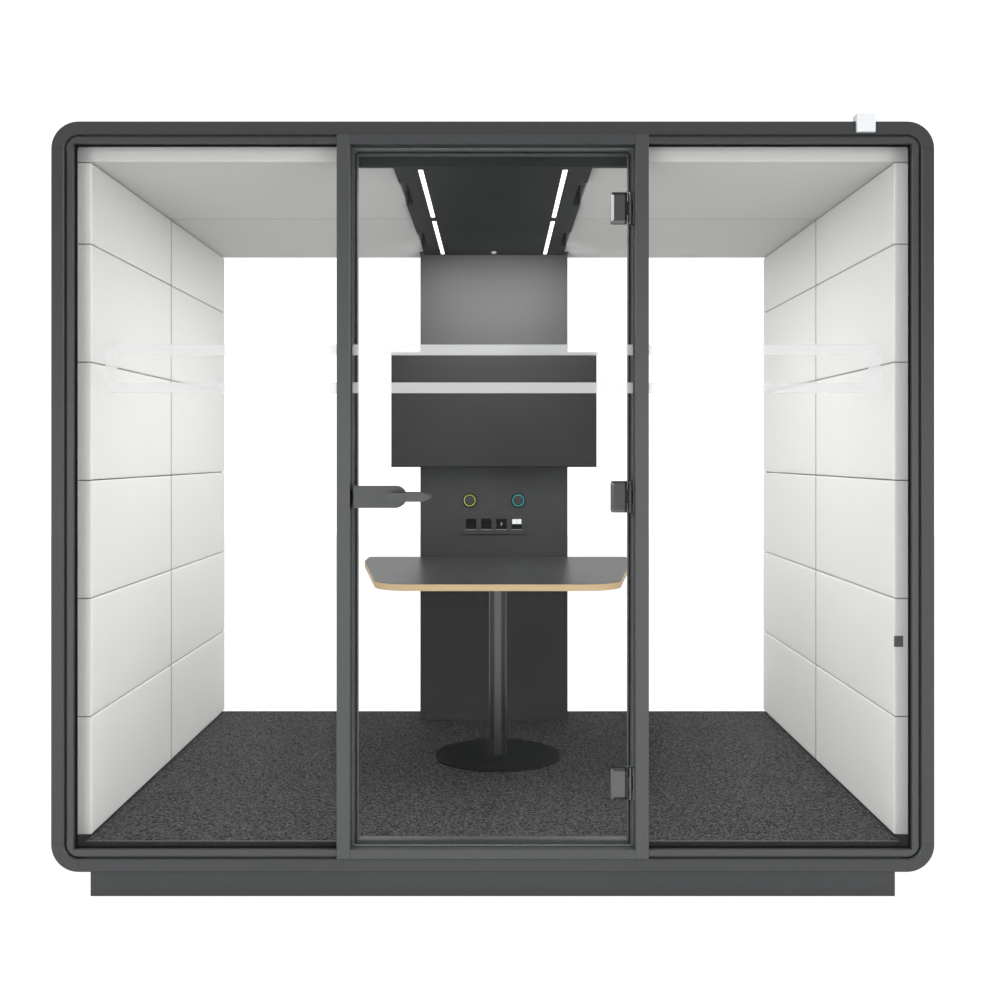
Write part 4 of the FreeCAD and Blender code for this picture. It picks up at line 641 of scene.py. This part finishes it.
# the pads' broad faces are smooth and their sides flat
def makePads(name, nodeName, slot, inwardOf):
    corners, faces, known = [], [], {}
    for islandCorners, islandFaces in splitNode(nodeName):
        low = Vector([min(corner[axis] for corner in islandCorners) for axis in range(3)])
        high = Vector([max(corner[axis] for corner in islandCorners) for axis in range(3)])
        inward = inwardOf((low + high) / 2)
        key = (inward, len(islandCorners), *[round(millimetres * side) for side in high - low])
        if nodeName == "ceiling_pads":
            key += (low.x > 0, low.y > 0)
        if key not in known:
            mesh = gridBlock(islandCorners, islandFaces)
            shape = [corner - low for corner in swellPad(mesh, inward)]
            known[key] = (shape, [list(face.vertices) for face in mesh.polygons])
        shape, shapeFaces = known[key]
        faces += [[index + len(corners) for index in face] for face in shapeFaces]
        corners += [low + corner for corner in shape]
    mesh = bpy.data.meshes.new(name)
    mesh.from_pydata(corners, [], faces)
    axis = mainAxis(inward)
    for face in mesh.polygons:
        face.use_smooth = abs(face.normal[axis]) > padSet["faceOn"]
    mesh.materials.append(finishes[slot])
    pads = bpy.data.objects.new(name, mesh)
    scene.collection.objects.link(pads)
    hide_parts(nodeName)
    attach(pads, "pod")
    print(name, len(known), "sizes,", len(faces), "faces")


makePads("wallPads", "wall_pads", "wall_fabric", lambda middle: (-1 if middle.x > 0 else 1, 0, 0))
makePads("ceilingPads", "ceiling_pads", "ceiling_fabric", lambda middle: (0, 0, -1))


def arcPoints(x, z, radius, start, end, steps):
    turns = [math.radians(start + (end - start) * step / steps) for step in range(steps + 1)]
    return [(x + radius * math.cos(turn), z + radius * math.sin(turn)) for turn in turns]


# frosted film on the front glass: one ring across both panes and the door, parted by the posts
filmSet = {"upper": (1.614, 1.646), "lower": (1.5005, 1.5325), "end": 1.16, "stroke": 0.035, "round": 0.028,
           "innerRound": 0.006, "steps": 10, "innerSteps": 4, "proud": 0.0008, "cover": 0.45,
           "finish": {"colour": (0.74, 0.748, 0.748), "gloss": 0.6, "fine": 1400.0, "spread": 0.04, "bump": 0.05}}
filmMat = grainMaterial("frostedFilm", **filmSet["finish"], Alpha=filmSet["cover"])
glassLow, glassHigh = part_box("door_glass")
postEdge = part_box("door_posts")[1][0]
filmY = glassLow[1]


def filmOutline(side):
    near, far = postEdge, filmSet["end"]
    (low, lowIn), (highIn, high) = filmSet["lower"], filmSet["upper"]
    bend, inner, innerFar = filmSet["round"], filmSet["innerRound"], filmSet["end"] - filmSet["stroke"]
    steps, innerSteps = filmSet["steps"], filmSet["innerSteps"]
    outline = [(near, low), *arcPoints(far - bend, low + bend, bend, -90, 0, steps),
               *arcPoints(far - bend, high - bend, bend, 0, 90, steps), (near, high), (near, highIn),
               *arcPoints(innerFar - inner, highIn - inner, inner, 90, 0, innerSteps),
               *arcPoints(innerFar - inner, lowIn + inner, inner, 0, -90, innerSteps), (near, lowIn)]
    return [(side * x, z) for x, z in outline]


def addFilm(name, outlines, body):
    film = bmesh.new()
    for outline in outlines:
        film.faces.new([film.verts.new((x, filmY, z)) for x, z in outline])
    film.normal_update()
    bmesh.ops.triangulate(film, faces=film.faces)
    solid = bmesh.ops.extrude_face_region(film, geom=film.faces[:])
    front = [item for item in solid["geom"] if isinstance(item, bmesh.types.BMVert)]
    bmesh.ops.translate(film, verts=front, vec=(0, -filmSet["proud"], 0))
    bmesh.ops.recalc_face_normals(film, faces=film.faces)
    mesh = bpy.data.meshes.new(name)
    film.to_mesh(mesh)
    film.free()
    mesh.materials.append(filmMat)
    piece = bpy.data.objects.new(name, mesh)
    scene.collection.objects.link(piece)
    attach(piece, body)


addFilm("filmPanes", [filmOutline(-1), filmOutline(1)], "pod")
doorBars = [[(glassLow[0], low), (glassHigh[0], low), (glassHigh[0], high), (glassLow[0], high)]
            for low, high in (filmSet["lower"], filmSet["upper"])]
addFilm("filmDoor", doorBars, "door")
print("film ready")

# repeated fittings are set out by geometry nodes on a few spots
roundSides = 20


def fittingTree(name, shape, material, turn=(0, 0, 0)):
    tree = bpy.data.node_groups.new(name, "GeometryNodeTree")
    tree.interface.new_socket("Spots", in_out="INPUT", socket_type="NodeSocketGeometry")
    tree.interface.new_socket("Fitting", in_out="OUTPUT", socket_type="NodeSocketGeometry")
    labels = {"Cube": ("Size",), "Cylinder": ("Radius", "Depth")}[shape]
    for label in labels:
        kind = "NodeSocketVector" if label == "Size" else "NodeSocketFloat"
        tree.interface.new_socket(label, in_out="INPUT", socket_type=kind)
    start, end = tree.nodes.new("NodeGroupInput"), tree.nodes.new("NodeGroupOutput")
    form = tree.nodes.new("GeometryNodeMesh" + shape)
    if shape == "Cylinder":
        form.inputs["Vertices"].default_value = roundSides
    for label in labels:
        tree.links.new(start.outputs[label], form.inputs[label])
    spread = tree.nodes.new("GeometryNodeInstanceOnPoints")
    spread.inputs["Rotation"].default_value = turn
    solid = tree.nodes.new("GeometryNodeRealizeInstances")
    paint = tree.nodes.new("GeometryNodeSetMaterial")
    paint.inputs["Material"].default_value = material
    tree.links.new(start.outputs["Spots"], spread.inputs["Points"])
    tree.links.new(form.outputs["Mesh"], spread.inputs["Instance"])
    tree.links.new(spread.outputs[0], solid.inputs[0])
    tree.links.new(solid.outputs[0], paint.inputs["Geometry"])
    tree.links.new(paint.outputs[0], end.inputs[0])
    return tree


def setOut(name, tree, spots, values, body):
    seeds = bpy.data.meshes.new(name + "Spots")
    seeds.from_pydata(spots, [], [])
    piece = bpy.data.objects.new(name, seeds)
    scene.collection.objects.link(piece)
    layout = piece.modifiers.new("layout", "NODES")
    layout.node_group = tree
    for item in tree.interface.items_tree:
        if item.in_out == "INPUT" and item.name in values:
            layout[item.identifier] = values[item.name]
    made = bpy.data.meshes.new_from_object(piece.evaluated_get(bpy.context.evaluated_depsgraph_get()))
    piece.modifiers.remove(layout)
    piece.data = made
    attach(piece, body)


# two bright screws in the keeper, each with a thin dark disc of painted shade for its drive recess
screwSet = {"reach": 0.027, "radius": 0.0042, "proud": 0.0012, "recess": 0.0019, "recessDepth": 0.0002}
keeperLow, keeperHigh = (Vector(corner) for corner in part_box("strike_keeper"))
keeperMiddle = (keeperLow + keeperHigh) / 2
screwSpots = [(keeperHigh.x, keeperMiddle.y, keeperMiddle.z + side * screwSet["reach"]) for side in (-1, 1)]
toSide = (0, math.pi / 2, 0)
setOut("keeperScrews", fittingTree("screwHeads", "Cylinder", finishes["pin_steel"], toSide), screwSpots,
       {"Radius": screwSet["radius"], "Depth": 2 * screwSet["proud"]}, "pod")
recessSpots = [(x + screwSet["proud"], y, z) for x, y, z in screwSpots]
setOut("screwRecessShade", fittingTree("driveRecessShade", "Cylinder", finishes["gasket_rubber"], toSide), recessSpots,
       {"Radius": screwSet["recess"], "Depth": screwSet["recessDepth"]}, "pod")

# a pale lip under each socket module
lipSet = {"height": 0.0022, "proud": 0.0004, "width": 0.046, "gap": 0.0012, "count": 4,
          "finish": {"colour": (0.24, 0.245, 0.25), "gloss": 0.4, "fine": 2000.0, "spread": 0.06, "bump": 0.04}}
moduleLow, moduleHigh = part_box("socket_modules")
plateLow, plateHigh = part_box("socket_plate")
pitch = (moduleHigh[0] - moduleLow[0] - lipSet["width"]) / (lipSet["count"] - 1)
lipMat = grainMaterial("paleLip", **lipSet["finish"])
lipSpots = [(moduleLow[0] + lipSet["width"] / 2 + count * pitch, plateLow[1],
             moduleLow[2] - lipSet["gap"] - lipSet["height"] / 2) for count in range(lipSet["count"])]
setOut("moduleLips", fittingTree("lipRow", "Cube", lipMat), lipSpots,
       {"Size": (lipSet["width"], 2 * lipSet["proud"], lipSet["height"])}, "pod")

# painted shadow: dark strips round the socket plate, wider below it, stand for the shade at the plate's edges
plateShadowSet = {"level": 0.0034, "upright": 0.0016, "proud": 0.0003}
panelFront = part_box("media_front_panel")[0][1]
plateShadowMat = finishes["gasket_rubber"]
plateMiddle = [(low + high) / 2 for low, high in zip(plateLow, plateHigh)]
setOut("plateShadowBelow", fittingTree("shadowBelow", "Cube", plateShadowMat),
       [(plateMiddle[0], panelFront, plateLow[2] - plateShadowSet["level"] / 2)],
       {"Size": (plateHigh[0] - plateLow[0], 2 * plateShadowSet["proud"], plateShadowSet["level"])}, "pod")
setOut("plateShadowSides", fittingTree("shadowSides", "Cube", plateShadowMat),
       [(edge + side * plateShadowSet["upright"] / 2, panelFront, plateMiddle[2])
        for side, edge in ((-1, plateLow[0]), (1, plateHigh[0]))],
       {"Size": (plateShadowSet["upright"], 2 * plateShadowSet["proud"], plateHigh[2] - plateLow[2])}, "pod")

# a white tongue in the charging port, the third module
tongueSet = {"size": (0.0054, 0.0006, 0.0132), "depth": 0.0094, "module": 2}
portSpot = (lipSpots[tongueSet["module"]][0], moduleLow[1] + tongueSet["depth"], (moduleLow[2] + moduleHigh[2]) / 2)
setOut("portTongue", fittingTree("portTongues", "Cube", finishes["white_plastic"]), [portSpot],
       {"Size": tongueSet["size"]}, "pod")

# a line down the rocker
lineSet = {"width": 0.0009, "depth": 0.0003, "margin": 0.0036}
rockerLow, rockerHigh = (Vector(corner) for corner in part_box("rocker_switch"))
rockerSpot = ((rockerLow.x + rockerHigh.x) / 2, rockerLow.y, (rockerLow.z + rockerHigh.z) / 2)
setOut("rockerLine", fittingTree("rockerLines", "Cube", finishes["table_laminate"]), [rockerSpot],
       {"Size": (lineSet["width"], lineSet["depth"], rockerHigh.z - rockerLow.z - lineSet["margin"])},
       "rocker")

# small bare tag on the front end of the right wall
tagSet = {"low": (1.2222, 0.731), "high": (1.249, 0.7645), "thick": 0.0015,
          "finish": {"colour": (0.09, 0.092, 0.093), "gloss": 0.5, "fine": 1800.0, "spread": 0.12, "bump": 0.06}}
tagMat = grainMaterial("bareTag", **tagSet["finish"])
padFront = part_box("wall_pads")[0][1]
tagSize = (tagSet["high"][0] - tagSet["low"][0], 2 * tagSet["thick"], tagSet["high"][1] - tagSet["low"][1])
tagSpot = ((tagSet["low"][0] + tagSet["high"][0]) / 2, padFront, (tagSet["low"][1] + tagSet["high"][1]) / 2)
setOut("wallTag", fittingTree("tagPlate", "Cube", tagMat), [tagSpot], {"Size": tagSize}, "pod")
print("fittings ready")

# floor of the studio: pale, and brighter to look at than as light
floorSet = {"reach": 15.0, "colour": (0.86, 0.86, 0.86, 1), "gloss": 0.9, "glowShare": 0.72, "glow": 1.3}
floorMesh = bpy.data.meshes.new("studioFloor")
reach = floorSet["reach"]
floorMesh.from_pydata([(-reach, -reach, 0), (reach, -reach, 0), (reach, reach, 0), (-reach, reach, 0)], [],
                      [(0, 1, 2, 3)])
studioFloor = bpy.data.objects.new("studioFloor", floorMesh)
scene.collection.objects.link(studioFloor)
floorMat, floorTree, floorBsdf = newMaterial("studioFloor", Roughness=floorSet["gloss"])[:3]
floorBsdf.inputs["Base Color"].default_value = floorSet["colour"]
floorBsdf.inputs["Specular IOR Level"].default_value = 0.0
floorGlow = addNode(floorTree, "Emission", Strength=floorSet["glow"])
floorRays = addNode(floorTree, "LightPath").outputs
floorSeen = mathNode(floorTree, "MAXIMUM", floorRays["Is Camera Ray"], floorRays["Is Transmission Ray"])
floorMix = addNode(floorTree, "MixShader")
floorTree.links.new(mathNode(floorTree, "MULTIPLY", floorSeen, floorSet["glowShare"]), floorMix.inputs[0])
floorTree.links.new(floorBsdf.outputs[0], floorMix.inputs[1])
floorTree.links.new(floorGlow.outputs[0], floorMix.inputs[2])
floorTree.links.new(floorMix.outputs[0], floorTree.nodes["Material Output"].inputs[0])
floorMesh.materials.append(floorMat)

print("scene ready")
